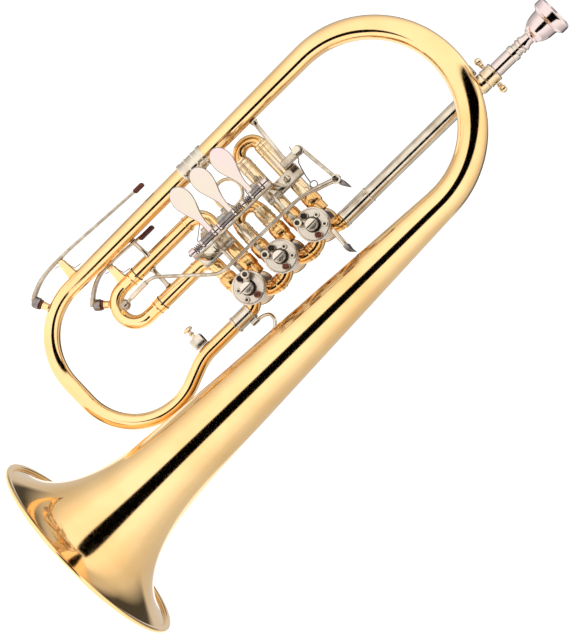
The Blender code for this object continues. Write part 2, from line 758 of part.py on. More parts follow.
def make_lever_frame():
    bottom, top = KNUCKLES[0][0], KNUCKLES[-1][1]
    ends = [(HINGE_X, HINGE_Y, bottom - 1.2), (HINGE_X, HINGE_Y, top + 1.2)]
    tube("hinge_rod", ends, ROD_RADIUS, STEEL)
    left, right = FRAME_BAR_X
    bar_low, bar_high = (left, HINGE_Y - 1.8, bottom), (right, HINGE_Y + 1.6, top)
    bar = block("lever_frame", bar_low, bar_high, NICKEL)
    parts = []
    for i, (low, high) in enumerate(KNUCKLES):
        parts.append(upright_drum(f"knuckle_{i}", HINGE_X, HINGE_Y, (low, high), 3.0, NICKEL))
        arm_low = (HINGE_X, HINGE_Y - 1.5, low + 0.1)
        arm_high = (left + 0.5, HINGE_Y + 1.3, high - 0.1)
        parts.append(block(f"knuckle_arm_{i}", arm_low, arm_high, NICKEL))
    span = (bottom - 3, top + 3)
    hole = upright_drum("knuckle_hole", HINGE_X, HINGE_Y, span, ROD_HOLE, NICKEL, 8)
    posts = (  # tag, z span of the post, z span of its foot
        ("low", (bottom + 0.2, bottom + 3.8), (189.0, 216.0)),
        ("top", (top - 3.8, top - 0.2), (250.0, 281.5)),
    )
    for tag, (low, high), (foot_low, foot_high) in posts:
        post_low, post_high = (-86.6, HINGE_Y + 1.0, low), (-82.6, FOOT_Y[1] - 0.4, high)
        parts.append(block(f"post_{tag}", post_low, post_high, NICKEL))
        low_corner, high_corner = (-90.5, FOOT_Y[0], foot_low), (-80.5, FOOT_Y[1], foot_high)
        parts.append(block(f"foot_{tag}", low_corner, high_corner, NICKEL))
    cut(fuse(bar, *parts), hole)


def slide_bow(x, z, reach, sleeve):
    """A U-shaped slide that opens towards the valves: legs, short sleeves and a shallow bow."""
    seat = x - GAP - STEP
    upper = [
        (x + reach, PORT, LEG_RADIUS),
        (seat + STEP, PORT, LEG_RADIUS),
        (seat, PORT, PIPE_RADIUS),
    ]
    start = seat - sleeve
    turns = 6
    bend = []
    for i in range(turns + 1):
        angle = radians(90 + 180 * i / turns)
        place = start + SLIDE_BOW_DEPTH * cos(angle)
        bend.append((place, PORT * sin(angle), SLIDE_BOW_RADIUS))
    lower = [(px, -dz, radius) for px, dz, radius in upper[::-1]]
    course = upper + bend + lower
    path = [(px, VALVE_Y, z + dz) for px, dz, _ in course]
    return path, [radius for _, _, radius in course]


def make_side_slides():
    for number, x, reach, sleeve in ((1, SLIDE_1_X, 46.0, 2.8), (2, SLIDE_2_X, 20.0, 4.6)):
        z = VALVE_Z[number - 1]
        path, radii = slide_bow(x, z, reach, sleeve)
        slide = tube(f"slide_{number}", path, radii, NICKEL, SLIDE_WALL)
        if number == 2:
            fuse(slide, make_pull_ring())
        set_origin(slide, (x, VALVE_Y, z))


def make_pull_ring():
    sides = 6
    profile = []
    for i in range(sides):
        angle = 2 * pi * i / sides
        radius = PULL_RING_RADIUS + PULL_RING_WIRE * cos(angle)
        profile.append((radius, PULL_RING_WIRE * sin(angle)))
    return turned("pull_ring", profile, PULL_RING, NICKEL, axis=(0, 1, 0), closed=True)


def make_third_slide():
    left, right = SLIDE_3_X
    middle, half = (left + right) / 2, (right - left) / 2
    centre = (middle, SLIDE_3_CENTRE_Z)
    seat = SLIDE_3_JOINT - GAP - STEP
    side = [
        (left, SLIDE_3_JOINT + SLIDE_3_LEG, LEG_RADIUS),
        (left, seat + STEP, LEG_RADIUS),
        (left, seat, PIPE_RADIUS),
    ]
    bend = [(x, z, 5.0) for x, z in arc(centre, half, 180, 360, 8)]
    other = [(2 * middle - x, z, radius) for x, z, radius in side[::-1]]
    course = side + bend + other
    path = [(x, VALVE_Y, z) for x, z, _ in course]
    slide = tube("slide_3", path, [radius for _, _, radius in course], GOLD, SLIDE_WALL)
    nipple, bore = key_nipple("nipple_2", centre, (17.6, 22.0), KEY_2_ANGLE, VALVE_Y)
    ears = key_ears("ears_2", KEY_2_PIVOT, VALVE_Y, left, 5.1)
    stud = drum("rod_stud", (-100.0, 15.5, 126.0), (-101.0, 11.6, 128.9), 1.6, GOLD, 8)
    cut(fuse(slide, nipple, *ears, stud), bore)
    set_origin(slide, (middle, VALVE_Y, SLIDE_3_JOINT))


def make_third_slide_tubes():
    """The third slide's two outer tubes, with elbows, a brace and the stay to the long leg."""
    left, right = SLIDE_3_X
    runs = []
    for x, side, bend in ((left, 1, 10.0), (right, -1, 9.0)):
        z = VALVE_Z[2] + side * PORT
        elbow = arc((x + bend, z - bend), bend, 90, 180, 3)
        course = [(SLIDE_3_START - GAP, z), *elbow, (x, SLIDE_3_JOINT)]
        runs.append([(px, VALVE_Y, pz) for px, pz in course])
    outer = tube("slide_3_tubes", runs[0], PIPE_RADIUS, NICKEL)
    inner = tube("inner_run", runs[1], PIPE_RADIUS, NICKEL)
    ends = [(x, VALVE_Y, SLIDE_3_BRACE_Z) for x in (left + 4, right - 4)]
    brace = tube("slide_3_brace", ends, 1.6, NICKEL, sides=8)
    leg_x, leg_y, stay_z = leg_point(LEG_STAY_Z)
    ends = [(leg_x + 6.9, leg_y + 0.6, stay_z), (left - 2.4, VALVE_Y - 4.0, stay_z)]
    stay = tube("leg_stay", ends, 1.5, NICKEL, sides=8)
    bores = []
    for i, run in enumerate(runs):
        bores.append(tube(f"run_bore_{i}", lengthened(run, 2.0), PIPE_BORE, NICKEL))
    cut(fuse(outer, inner, brace, stay), *bores)


def make_trigger():
    near, far = TRIGGER_Y
    px, pz = TRIGGER_PIVOT
    ex, ez = TRIGGER_END
    trigger = cross_drum("trigger", px, TRIGGER_Y, pz, 3.7, NICKEL, 12)
    span = (near + 0.3, far - 0.3)
    line = [(px + 1, pz + 2.3), (px + 8, pz + 3.2), (ex - 3, ez - 0.2), (ex, ez)]
    bar = strap("trigger_bar", line, 2.6, span, NICKEL)
    end = cross_drum("trigger_end", ex, span, ez, 2.6, NICKEL)
    pin = cross_drum("trigger_pin", ex, (ROD_Y - 2.2, far - 1), ez, TRIGGER_PIN, NICKEL, 8)
    outline = ((1.0, -1.2), (5.0, -0.8), (10.4, 2.8), (4.2, 2.4), (1.0, 1.4))
    tip = slab("trigger_tip", [(ex + x, ez + z) for x, z in outline], (near - 0.5, -3.5), NICKEL)
    hole = cross_drum("trigger_hole", px, (near - 2, far + 2), pz, 2.0, NICKEL, 8)
    cut(fuse(trigger, bar, end, pin, tip), hole)
    set_origin(trigger, (px, (near + far) / 2, pz))
    back = far + GAP
    low, high = POST_Z
    post = block("trigger_post", (px - 3, back, low), (px + 3, FOOT_Y[0] - GAP, high), NICKEL)
    corner = (px + 3, back + 2.6, pz + 2.6)
    upright = block("trigger_upright", (px - 3, back, low + 0.5), corner, NICKEL)
    fuse(post, upright, cross_drum("trigger_pivot", px, (near - 5.2, far + 2), pz, 1.6, NICKEL))


def make_trigger_spring():
    """A coil on the pivot pin, with a long leg that ends in an eye at the slide tube."""
    px, pz = TRIGGER_PIVOT
    front, back = TRIGGER_Y[0] - 3.6, TRIGGER_Y[0] - 1.0
    mean = 2.5
    lead = [(px - 5.0, front, pz - mean + 0.5), (px - 2.0, front, pz - mean)]
    body = coil((px, None, pz), front, back, mean, 270, 2)
    leg = [
        (px + 4.6, back, pz - 3.2), (-84.5, -9.0, 286.0), (-78.0, 4.0, 282.0), (-74.5, 11.0, 280.4),
    ]
    eye = coil((-71.6, None, 280.6), 14.1, 16.1, 2.4, 200, 1)
    wound_spring("trigger_spring", lead + body + leg + eye, TRIGGER_WIRE)


def make_push_rod():
    """The long bent rod from the trigger to the third slide's bow."""
    ex, ez = TRIGGER_END
    rod = cross_drum("trigger_rod", ex, (ROD_Y - 1.3, ROD_Y + 1.3), ez, 3.4, NICKEL)
    thin, thick = 1.3, 1.9
    course = (
        ((ex - 0.5, ROD_Y, ez - 2.4), thick),
        ((-64.0, ROD_Y, 282.2), thick),
        ((-66.5, ROD_Y, 273.0), thin),
        ((-67.4, ROD_Y, 262.0), thin),
        ((-67.8, ROD_Y, 206.0), thin),
        ((-68.6, -13.0, 199.5), thin),
        ((-71.4, -11.5, 193.5), thin),
        ((-97.0, -3.0, 164.5), thin),
        ((-100.2, -1.0, 160.0), thin),
        ((-101.6, 1.0, 153.0), 1.5),
        ((BALL[0], BALL[1], BALL[2] + 2.0), 1.6),
    )
    stem = tube("rod_stem", [p for p, _ in course], [r for _, r in course], NICKEL, sides=8)
    bands = [polar((0, 0), BALL_RADIUS, angle) for angle in (-50, -18, 18, 50)]
    profile = [(0, -BALL_RADIUS), *bands, (0, BALL_RADIUS)]
    ball = turned("rod_ball", profile, BALL, NICKEL, steps=12)
    hole = cross_drum("rod_hole", ex, (ROD_Y - 3, ROD_Y + 3), ez, 2.2, NICKEL, 8)
    cut(fuse(rod, stem, ball), hole)
    set_origin(rod, BALL)


def make_water_key(number, pivot, y, line, grip, centre, angle, cup_from):
    """A lever with a pivot lug, a cork cup at one end and a grip at the other, and its pad."""
    name = f"water_key_{number}"
    x, z = pivot
    key = strap(name, line, KEY_THICK, (y - KEY_HALF, y + KEY_HALF), NICKEL)
    lever_x, _ = min(line, key=lambda point: abs(point[1] - z))
    lug = block(f"{name}_lug", (lever_x, y - 1.0, z - 1.9), (x + 1.8, y + 1.0, z + 1.9), NICKEL)
    hole = cross_drum(f"{name}_hole", x, (y - 3, y + 3), z, KEY_PIN + 0.35, NICKEL)
    cup = radial_drum(f"{name}_cup", centre, angle, (cup_from, cup_from + 5.4), y, 4.1, NICKEL)
    grip_x, grip_low, grip_high = grip
    wide, tall = 1.9, KEY_HALF + 0.5
    low, high = (grip_x - wide, y - tall, grip_low), (grip_x + wide, y + tall, grip_high)
    handle = block(f"{name}_grip", low, high, CORK)
    cut(fuse(key, lug, cup, handle), hole)
    set_origin(key, (x, y, z))
    span = (cup_from - 1.5, cup_from - GAP)
    set_origin(radial_drum(f"{name}_pad", centre, angle, span, y, 3.5, CORK), (x, y, z))


def radial_drum(name, centre, angle, span, y, radius, finish):
    """A cylinder that points away from a bow's centre."""
    (ax, az), (bx, bz) = (polar(centre, place, angle) for place in span)
    return drum(name, (ax, y, az), (bx, y, bz), radius, finish, 12)


def make_key_spring(number, pivot, y, wall_x, lever_x):
    """A wire spring on the key's pin: one leg on the tube, one on the lever."""
    x, z = pivot
    near, far = y + 1.45, y + 3.15
    leg = [(wall_x - 1.2, near, z + 9.0), (wall_x - 2.0, near, z + 4.0)]
    body = coil((x, None, z), near, far, 1.65, 60, 1.6)
    hook = [(lever_x, far, z - 5.0), (lever_x, far, z - 6.5)]
    wound_spring(f"water_key_spring_{number}", leg + body + hook, KEY_WIRE)


def make_water_keys():
    line = [
        (-152.4, 197.0), (-153.6, 175.0), (-154.7, 155.0), (-156.0, 132.0), (-156.2, 119.0),
        (-155.8, 108.0), (-154.2, 99.0), (-150.6, 90.5), (-147.8, 86.6),
    ]
    grip = (-152.6, 188.5, 197.0)
    make_water_key(1, KEY_1_PIVOT, KEY_1_Y, line, grip, REAR_LEFT_CENTRE, KEY_1_ANGLE, 58.2)
    make_key_spring(1, KEY_1_PIVOT, KEY_1_Y, LEG_LOW[0] - 6.4, -154.2)
    centre = (sum(SLIDE_3_X) / 2, SLIDE_3_CENTRE_Z)
    line = [
        (-128.4, 180.8), (-129.6, 168.0), (-130.7, 152.0), (-131.0, 140.0), (-130.3, 131.0),
        (-126.8, 122.8), (-121.4, 115.6), (-118.0, 112.6),
    ]
    grip = (-128.6, 168.0, 180.8)
    make_water_key(2, KEY_2_PIVOT, VALVE_Y, line, grip, centre, KEY_2_ANGLE, 24.0)
    make_key_spring(2, KEY_2_PIVOT, VALVE_Y, SLIDE_3_X[0] - PIPE_RADIUS, -128.7)


def make_lyre_holder():
    x, z = LYRE_AT
    half, bore = LYRE_HALF, LYRE_BORE
    low, high = z - 4.5, z + 4.5
    near, far = VALVE_Y - half, VALVE_Y + half
    socket = block("lyre_socket", (x - half, near, low), (x + half, far, high), NICKEL)
    way_low, way_high = (x - bore, VALVE_Y - bore, low - 1), (x + bore, VALVE_Y + bore, high + 1)
    way = block("lyre_way", way_low, way_high, NICKEL)
    tap = drum("lyre_tap", (x - half - 1, VALVE_Y, z), (x - 1, VALVE_Y, z), 1.6, NICKEL)
    cut(socket, way, tap)
    seat = (x - bore - 0.2, VALVE_Y, z)
    profile = (
        (0, 0), (1.25, 0), (1.25, 3.4), (2.0, 3.8), (2.0, 4.6), (1.1, 5.2),
        (1.1, 6.4), (3.5, 6.9), (3.5, 8.7), (2.4, 9.4), (0, 9.4),
    )
    screw = turned("lyre_screw", profile, seat, NICKEL, axis=(-1, 0, 0), steps=10)
    set_origin(screw, seat)


def make_stays():
    """The finger hook and the stays that tie the tubes together."""
    hook_low, hook_high = (-39.2, 4.6, HOOK_Z - 1.9), (-24.0, 7.4, HOOK_Z + 1.9)
    hook = block("finger_hook", hook_low, hook_high, NICKEL)
    outline = [
        (-25.5, HOOK_Z - 1.7), (-19.5, HOOK_Z - 0.7), (-17.5, HOOK_Z + 1.7), (-25.5, HOOK_Z + 1.7),
    ]
    fuse(hook, slab("finger_rest", outline, (-1.0, 10.5), NICKEL))
    route = [
        (-32.7, 18.0, 187.0), (-32.4, 17.4, 193.0), (-29.6, 15.4, 198.2), (-24.6, 13.0, 198.8),
        (-20.4, 11.0, 195.6), (-18.3, 9.8, 190.5),
    ]
    tube("bell_brace", route, 1.3, NICKEL, sides=8)
    leg_x, leg_y, leg_z = leg_point(281.0)
    ends = [(leg_x + 7.8, leg_y, leg_z + 0.6), (TRIGGER_PIVOT[0] - 3.4, 3.0, 278.8)]
    tube("upper_brace", ends, 1.6, NICKEL, sides=8)


def make_valves():
    slide_ends = (SLIDE_1_X, SLIDE_2_X, SLIDE_3_START)
    for number, (z, slide_end) in enumerate(zip(VALVE_Z, slide_ends), start=1):
        mirror = -1 if number == 3 else 1
        make_casing(number, z, slide_end)
        make_rotor(number, z)
        make_cap(number, z)
        make_stop_plate(number, z, mirror)
        make_stop_arm(number, z, mirror)
        make_link(number, z, mirror)
        make_lever(number, z, mirror)
        make_lever_spring(number)


def main():
    clear_scene()
    make_bell()
    make_main_bow()
    make_rear_branch()
    make_leadpipe()
    make_mouthpiece()
    make_valves()
    make_lever_frame()
    make_side_slides()
    make_third_slide()
    make_third_slide_tubes()
    make_trigger()
    make_trigger_spring()
    make_push_rod()
    make_water_keys()
    make_lyre_holder()
    make_stays()
    horn = bpy.data.objects.new("flugelhorn", None)
    bpy.context.collection.objects.link(horn)
    for thing in list(bpy.context.collection.objects):
        if thing is not horn:
            thing.parent = horn


main()
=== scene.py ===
"""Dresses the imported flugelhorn: smooth tubes, lacquer, valve work and a white studio.

Places are in millimetres from the foot of the bell axis: x towards the bell, y towards the
valve caps, z up. at() turns them into the frame's metres.
"""

import json
from math import cos, exp, hypot, pi, radians, sin, sqrt

import bpy
from mathutils import Matrix, Vector


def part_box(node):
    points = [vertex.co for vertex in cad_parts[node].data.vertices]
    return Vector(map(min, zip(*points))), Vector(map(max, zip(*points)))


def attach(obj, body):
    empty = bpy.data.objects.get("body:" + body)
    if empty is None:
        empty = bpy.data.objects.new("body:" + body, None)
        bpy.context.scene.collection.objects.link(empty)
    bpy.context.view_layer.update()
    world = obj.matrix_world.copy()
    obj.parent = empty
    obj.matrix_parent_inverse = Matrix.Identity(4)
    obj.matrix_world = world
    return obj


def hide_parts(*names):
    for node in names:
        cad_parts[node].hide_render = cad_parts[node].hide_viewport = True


bl_info = {
    "name": "Rotary flugelhorn dresser",
    "version": (1, 0, 0),
    "blender": (4, 5, 0),
    "location": "3D view > Sidebar > Flugelhorn",
    "description": "Models the visible surfaces of a rotary-valve flugelhorn around its solids",
    "category": "Object",
}

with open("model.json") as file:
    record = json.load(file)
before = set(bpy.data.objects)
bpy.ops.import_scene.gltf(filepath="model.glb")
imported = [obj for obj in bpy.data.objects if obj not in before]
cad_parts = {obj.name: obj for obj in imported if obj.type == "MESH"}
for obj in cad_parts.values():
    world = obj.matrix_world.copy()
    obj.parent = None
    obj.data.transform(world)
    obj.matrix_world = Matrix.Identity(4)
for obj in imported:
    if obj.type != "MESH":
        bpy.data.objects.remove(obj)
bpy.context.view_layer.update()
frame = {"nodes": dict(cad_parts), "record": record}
MM = 0.001
BODY_OF = {
    node: body
    for body, nodes in frame["record"]["behaviour"]["bodies"].items()
    for node in nodes
}


def middle(node):
    low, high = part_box(node)
    return (Vector(low) + Vector(high)) / 2


BELL_FOOT = Vector((middle("bell_rim").x, middle("bell_rim").y, 0))


def at(x, y, z):
    """A place on the horn, in millimetres from the bell's foot, as frame metres."""
    return Vector((x, y, z)) * MM + BELL_FOOT


def spot(node):
    """The middle of a solid, in millimetres from the bell's foot."""
    return (middle(node) - BELL_FOOT) / MM


def span(node, axis):
    """How far a solid reaches along x, y or z, in millimetres from the bell's foot."""
    low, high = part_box(node)
    return tuple((corner[axis] - BELL_FOOT[axis]) / MM for corner in (low, high))


# Main lines of the horn
TAIL = 11.5
BELL_TOP = span("bell", 2)[1]
BELL_WALL = 0.9
BELL_TAPER = 0.055
BELL_FLARES = ((35.0, 25.0), (12.1, 4.0))  # growth at the rim, and the height it fades over
BOW_RADIUS = 68.0
BOW_Z = BELL_TOP + 3.0
LEG_TOP_X = -2 * BOW_RADIUS
REAR_BOW = (-90.5, 112.3)
REAR_BOW_RADIUS = 46.0
NECK_BOW = (-73.6, 110.0)
NECK_BOW_RADIUS = 43.5
NECK_LEAN = 22
LEG_LOW = (REAR_BOW[0] - REAR_BOW_RADIUS, 10.0, REAR_BOW[1])
PIPE_X, PIPE_Y = spot("leadpipe")[:2]
VALVES = [spot(f"valve_cap_{n}") for n in (1, 2, 3)]
VALVE_X = VALVES[0].x
VALVE_Y = PIPE_Y
PORT = 8.5
PIPE = 5.3
KEY_PIVOTS = ((-152.9, 9.6, 119.1), (-127.6, VALVE_Y, 140.2))
KEY_ANGLES = (203.9, 230.3)


class HornSizes(bpy.types.PropertyGroup):
    """Counts and sizes that a user would change."""

    round_sides: bpy.props.IntProperty(
        name="Round sides", description="Facets round a large tube", default=48, min=12
    )
    small_sides: bpy.props.IntProperty(
        name="Small sides", description="Facets round a small tube or pin", default=28, min=8
    )
    bell_steps: bpy.props.IntProperty(
        name="Bell steps", description="Facets round the bell", default=160, min=32
    )
    edge: bpy.props.FloatProperty(
        name="Edge", description="Rounding of machined edges, in millimetres", default=0.28, min=0.05
    )


def pigment(label, use, tone):
    """A colour setting for the panel."""
    return bpy.props.FloatVectorProperty(
        name=label, description=use, subtype="COLOR", size=3, default=tone
    )


class HornFinishes(bpy.types.PropertyGroup):
    """Colours of the horn's finishes."""

    gold: pigment("Gold lacquer", "Lacquered brass", (0.93, 0.63, 0.30))
    gold_deep: pigment("Deep gold", "Redder patches in the lacquer", (0.86, 0.53, 0.21))
    # A darker copy of the gold lacquer: painted shade for the crowded valve cluster.
    brass: pigment("Shaded brass", "Valve casings and crooks", (0.70, 0.41, 0.15))
    nickel: pigment("Nickel silver", "Polished nickel silver", (0.68, 0.60, 0.48))
    warm_nickel: pigment("Warm nickel", "Nickel silver with a straw tint", (0.78, 0.60, 0.36))
    # Real tarnish in the patches on polished nickel; as the whole tone of the linkage parts it is painted
    # shade.
    nickel_tarnish_and_shade: pigment("Tarnished and shaded nickel", "Tarnish on nickel silver and painted shade on the linkage", (0.42, 0.335, 0.25))
    silver: pigment("Silver plate", "Warm silver plate", (0.70, 0.565, 0.545))
    steel: pigment("Spring steel", "Blued steel", (0.17, 0.155, 0.14))
    grey_steel_and_edge_shade: pigment("Grey steel", "Hinge barrels and springs", (0.30, 0.25, 0.23))
    plate: pigment("Stop plates", "Pinkish nickel of the valve fronts", (0.74, 0.645, 0.545))
    cork: pigment("Cork", "Stained cork grips and pads", (0.223, 0.045, 0.021))


def sizes():
    return bpy.context.scene.horn_sizes


# Materials
MIX_SHARE, MIX_FIRST, MIX_SECOND = 0, 6, 7  # sockets of a colour mix
MIX_LOW, MIX_HIGH = 2, 3  # sockets of a number mix
PORE_TONE = (0.012, 0.006, 0.004, 1)
BLACK_CORK = (0.02, 0.018, 0.016)
# Each metal: material, clean tone, share of it, dull tone, patch scale, gloss range, coat
METALS = {
    "gold": ("gold_lacquer", "gold", 1.0, "gold_deep", 22.0, (0.06, 0.13), 0.25),
    # Painted shade: the valve cluster's brass, darker than the gold lacquer of the same brass.
    "brass": ("shaded_brass", "brass", 1.0, "gold_deep", 60.0, (0.08, 0.16), 0.15),
    "nickel": ("polished_nickel", "nickel", 1.0, "nickel_tarnish_and_shade", 70.0, (0.1, 0.22), 0.0),
    "warm_nickel": ("warm_nickel", "warm_nickel", 1.0, "nickel", 90.0, (0.12, 0.24), 0.0),
    # Linkage nickel: real wear in its patches and gloss, painted shade in its dark tone.
    "worn_shaded_nickel": ("worn_shaded_nickel", "nickel_tarnish_and_shade", 1.0, "nickel", 160.0, (0.16, 0.34), 0.0),
    "silver": ("warm_silver", "silver", 1.0, "nickel", 25.0, (0.07, 0.16), 0.0),
    "steel": ("spring_steel", "steel", 1.0, "nickel_tarnish_and_shade", 220.0, (0.2, 0.38), 0.0),
    "plate_nickel": ("plate_nickel", "plate", 1.0, "nickel", 60.0, (0.26, 0.31), 0.0),
    # Grey steel for barrels, springs and caps; it also paints the dark shade line round the touch plates.
    "grey_steel_and_edge_shade": ("grey_steel_and_edge_shade", "grey_steel_and_edge_shade", 1.0, "steel", 240.0, (0.22, 0.4), 0.0),
    # Black steel for pins, screw cores and mouth rings; it also paints the shadow ring and the shade in the
    # slots.
    "black_steel_and_painted_shade": ("black_steel_and_painted_shade", "steel", 0.25, "steel", 240.0, (0.3, 0.45), 0.0),
}


def add_node(tree, kind, inputs, **settings):
    """A new shader node, each input set to a value or linked to another node's output."""
    node = tree.nodes.new(kind)
    for name, setting in settings.items():
        setattr(node, name, setting)
    for key, value in inputs.items():
        if isinstance(value, bpy.types.NodeSocket):
            tree.links.new(value, node.inputs[key])
        else:
            node.inputs[key].default_value = value
    return node


def noise(tree, coordinate, scale, detail=3.0):
    inputs = {"Vector": coordinate, "Scale": scale, "Detail": detail}
    return add_node(tree, "ShaderNodeTexNoise", inputs).outputs["Fac"]


def ramp(tree, value, low, high):
    """Stretches a value between two limits to a 0 to 1 mask."""
    inputs = {"Value": value, "From Min": low, "From Max": high}
    return add_node(tree, "ShaderNodeMapRange", inputs).outputs["Result"]


def blend(tree, share, first, second):
    """A colour part of the way from one to another."""
    inputs = {MIX_SHARE: share, MIX_FIRST: first, MIX_SECOND: second}
    return add_node(tree, "ShaderNodeMix", inputs, data_type="RGBA").outputs[2]


def reckon(tree, operation, first, second):
    """One step of arithmetic."""
    node = add_node(tree, "ShaderNodeMath", {0: first, 1: second}, operation=operation)
    return node.outputs["Value"]


def object_place(tree):
    return tree.nodes.new("ShaderNodeTexCoord").outputs["Object"]


def new_group(name, inputs, outputs):
    """A shader node group with named sockets."""
    group = bpy.data.node_groups.new(name, "ShaderNodeTree")
    for label, kind, value in inputs:
        socket = group.interface.new_socket(label, in_out="INPUT", socket_type=kind)
        socket.default_value = value
    for label, kind in outputs:
        group.interface.new_socket(label, in_out="OUTPUT", socket_type=kind)
    nodes = group.nodes
    return group, nodes.new("NodeGroupInput").outputs, nodes.new("NodeGroupOutput").inputs


def metal_wear_group():
    """Two-tone patches and fine wiping marks that vary colour and gloss."""
    group, given, result = new_group(
        "metal_wear",
        (
            ("Clean", "NodeSocketColor", (1, 1, 1, 1)),
            ("Dull", "NodeSocketColor", (0.5, 0.5, 0.5, 1)),
            ("Patch Scale", "NodeSocketFloat", 30.0),
            ("Low Gloss", "NodeSocketFloat", 0.2),
            ("High Gloss", "NodeSocketFloat", 0.1),
        ),
        (("Color", "NodeSocketColor"), ("Roughness", "NodeSocketFloat")),
    )
    place = object_place(group)
    patches = ramp(group, noise(group, place, given["Patch Scale"]), 0.42, 0.72)
    wipes = ramp(group, noise(group, place, 900.0, 2.0), 0.35, 0.7)
    group.links.new(blend(group, patches, given["Clean"], given["Dull"]), result["Color"])
    limits = {MIX_SHARE: wipes, MIX_LOW: given["High Gloss"], MIX_HIGH: given["Low Gloss"]}
    gloss = add_node(group, "ShaderNodeMix", limits)
    group.links.new(gloss.outputs[0], result["Roughness"])
    return group


def cork_grain_group():
    """Speckled cork: darker pores and a rough surface."""
    group, given, result = new_group(
        "cork_grain",
        (("Cork", "NodeSocketColor", (0.3, 0.1, 0.05, 1)), ("Scale", "NodeSocketFloat", 900.0)),
        (("Color", "NodeSocketColor"), ("Height", "NodeSocketFloat")),
    )
    pores = ramp(group, noise(group, object_place(group), given["Scale"], 4.0), 0.3, 0.7)
    group.links.new(blend(group, pores, PORE_TONE, given["Cork"]), result["Color"])
    group.links.new(pores, result["Height"])
    return group


def place_group(tree, name, maker, inputs):
    group = bpy.data.node_groups.get(name) or maker()
    node = tree.nodes.new("ShaderNodeGroup")
    node.node_tree = group
    for key, value in inputs.items():
        node.inputs[key].default_value = value
    return node.outputs


def opaque(colour):
    return (*colour[:3], 1)


def new_material(name, inputs):
    """A material, its node tree and the sockets of its main shader."""
    material = bpy.data.materials.new(name)
    material.use_nodes = True
    sockets = material.node_tree.nodes["Principled BSDF"].inputs
    for key, value in inputs.items():
        sockets[key].default_value = value
    return material, material.node_tree, sockets


def metal(name, clean, dull, patch_scale, gloss, coat):
    """A polished metal with patches of a second tone and worn gloss."""
    look = {"Metallic": 1.0, "Coat Weight": coat, "Coat Roughness": 0.03}
    material, tree, shader = new_material(name, look)
    wear = {"Clean": opaque(clean), "Dull": opaque(dull), "Patch Scale": patch_scale}
    wear["High Gloss"], wear["Low Gloss"] = gloss
    worn = place_group(tree, "metal_wear", metal_wear_group, wear)
    tree.links.new(worn["Color"], shader["Base Color"])
    tree.links.new(worn["Roughness"], shader["Roughness"])
    return material


def cork(name, colour):
    material, tree, shader = new_material(name, {"Roughness": 0.8})
    grain = place_group(tree, "cork_grain", cork_grain_group, {"Cork": opaque(colour)})
    relief = {"Strength": 0.4, "Distance": 0.0003, "Height": grain["Height"]}
    bump = add_node(tree, "ShaderNodeBump", relief)
    tree.links.new(grain["Color"], shader["Base Color"])
    tree.links.new(bump.outputs["Normal"], shader["Normal"])
    return material


def finish(name):
    """One of the horn's finishes, made the first time it is asked for."""
    tones = bpy.context.scene.horn_finishes
    if name in METALS:
        label, clean, share, dull, *look = METALS[name]
        ready = bpy.data.materials.get(label)
        return ready or metal(label, getattr(tones, clean) * share, getattr(tones, dull), *look)
    label, colour = ("stained_cork", tones.cork) if name == "cork" else ("black_cork", BLACK_CORK)
    return bpy.data.materials.get(label) or cork(label, colour)


# Modelling by operators
AXES = {"X": Vector((1, 0, 0)), "Y": Vector((0, 1, 0)), "Z": Vector((0, 0, 1))}
BEVEL_ANGLE = radians(35)
SMOOTH_ANGLE = radians(32)


def alone(thing):
    bpy.ops.object.select_all(action="DESELECT")
    thing.select_set(True)
    bpy.context.view_layer.objects.active = thing


def sketch(points, edges, faces=()):
    """A new object from a drawn profile or outline, alone in the selection, in edit mode."""
    mesh = bpy.data.meshes.new("shape")
    mesh.from_pydata([tuple(p) for p in points], edges, faces)
    thing = bpy.data.objects.new("shape", mesh)
    bpy.context.collection.objects.link(thing)
    alone(thing)
    bpy.ops.object.mode_set(mode="EDIT")
    bpy.ops.mesh.select_all(action="SELECT")
    return thing


def tidy_mesh():
    """Merges doubles, turns the faces outwards and leaves edit mode."""
    bpy.ops.mesh.select_all(action="SELECT")
    bpy.ops.mesh.remove_doubles(threshold=1e-6)
    bpy.ops.mesh.normals_make_consistent(inside=False)
    bpy.ops.object.mode_set(mode="OBJECT")


def turned(profile, foot, axis="Z", steps=None, closed=False, flip=1):
    """A lathe piece: (radius, height) in millimetres, spun about an axis through foot."""
    along, out = AXES[axis], AXES["Y" if axis == "X" else "X"]
    points = [at(*(Vector(foot) + radius * out + height * flip * along)) for radius, height in profile]
    edges = [(i, i + 1) for i in range(len(points) - 1)]
    if closed:
        edges.append((len(points) - 1, 0))
    thing = sketch(points, edges)
    steps = steps or sizes().round_sides
    bpy.ops.mesh.spin(steps=steps, angle=2 * pi, center=at(*foot), axis=along)
    tidy_mesh()
    return thing


def tube(path, radii, sides=None):
    """A round tube with closed ends along a path in millimetres."""
    if not hasattr(radii, "__len__"):
        radii = [radii] * len(path)
    bpy.ops.object.select_all(action="DESELECT")
    bpy.ops.curve.primitive_nurbs_path_add()
    curve = bpy.context.object.data
    curve.splines.clear()
    spline = curve.splines.new("POLY")
    spline.points.add(len(path) - 1)
    for point, place, radius in zip(spline.points, path, radii):
        point.co = (*at(*place), 1)
        point.radius = radius
    curve.bevel_depth = MM
    curve.bevel_resolution = ((sides or sizes().small_sides) - 4) // 2
    curve.use_fill_caps = True
    bpy.ops.object.convert(target="MESH")
    bpy.ops.object.mode_set(mode="EDIT")
    tidy_mesh()
    return bpy.context.object


def soften(thing, width=None):
    """Rounds a piece's hard edges with an applied bevel."""
    alone(thing)
    bevel = thing.modifiers.new("edge", "BEVEL")
    bevel.width = (width or sizes().edge) * MM
    bevel.segments = 3
    bevel.limit_method = "ANGLE"
    bevel.angle_limit = BEVEL_ANGLE
    bpy.ops.object.modifier_apply(modifier=bevel.name)
    return thing


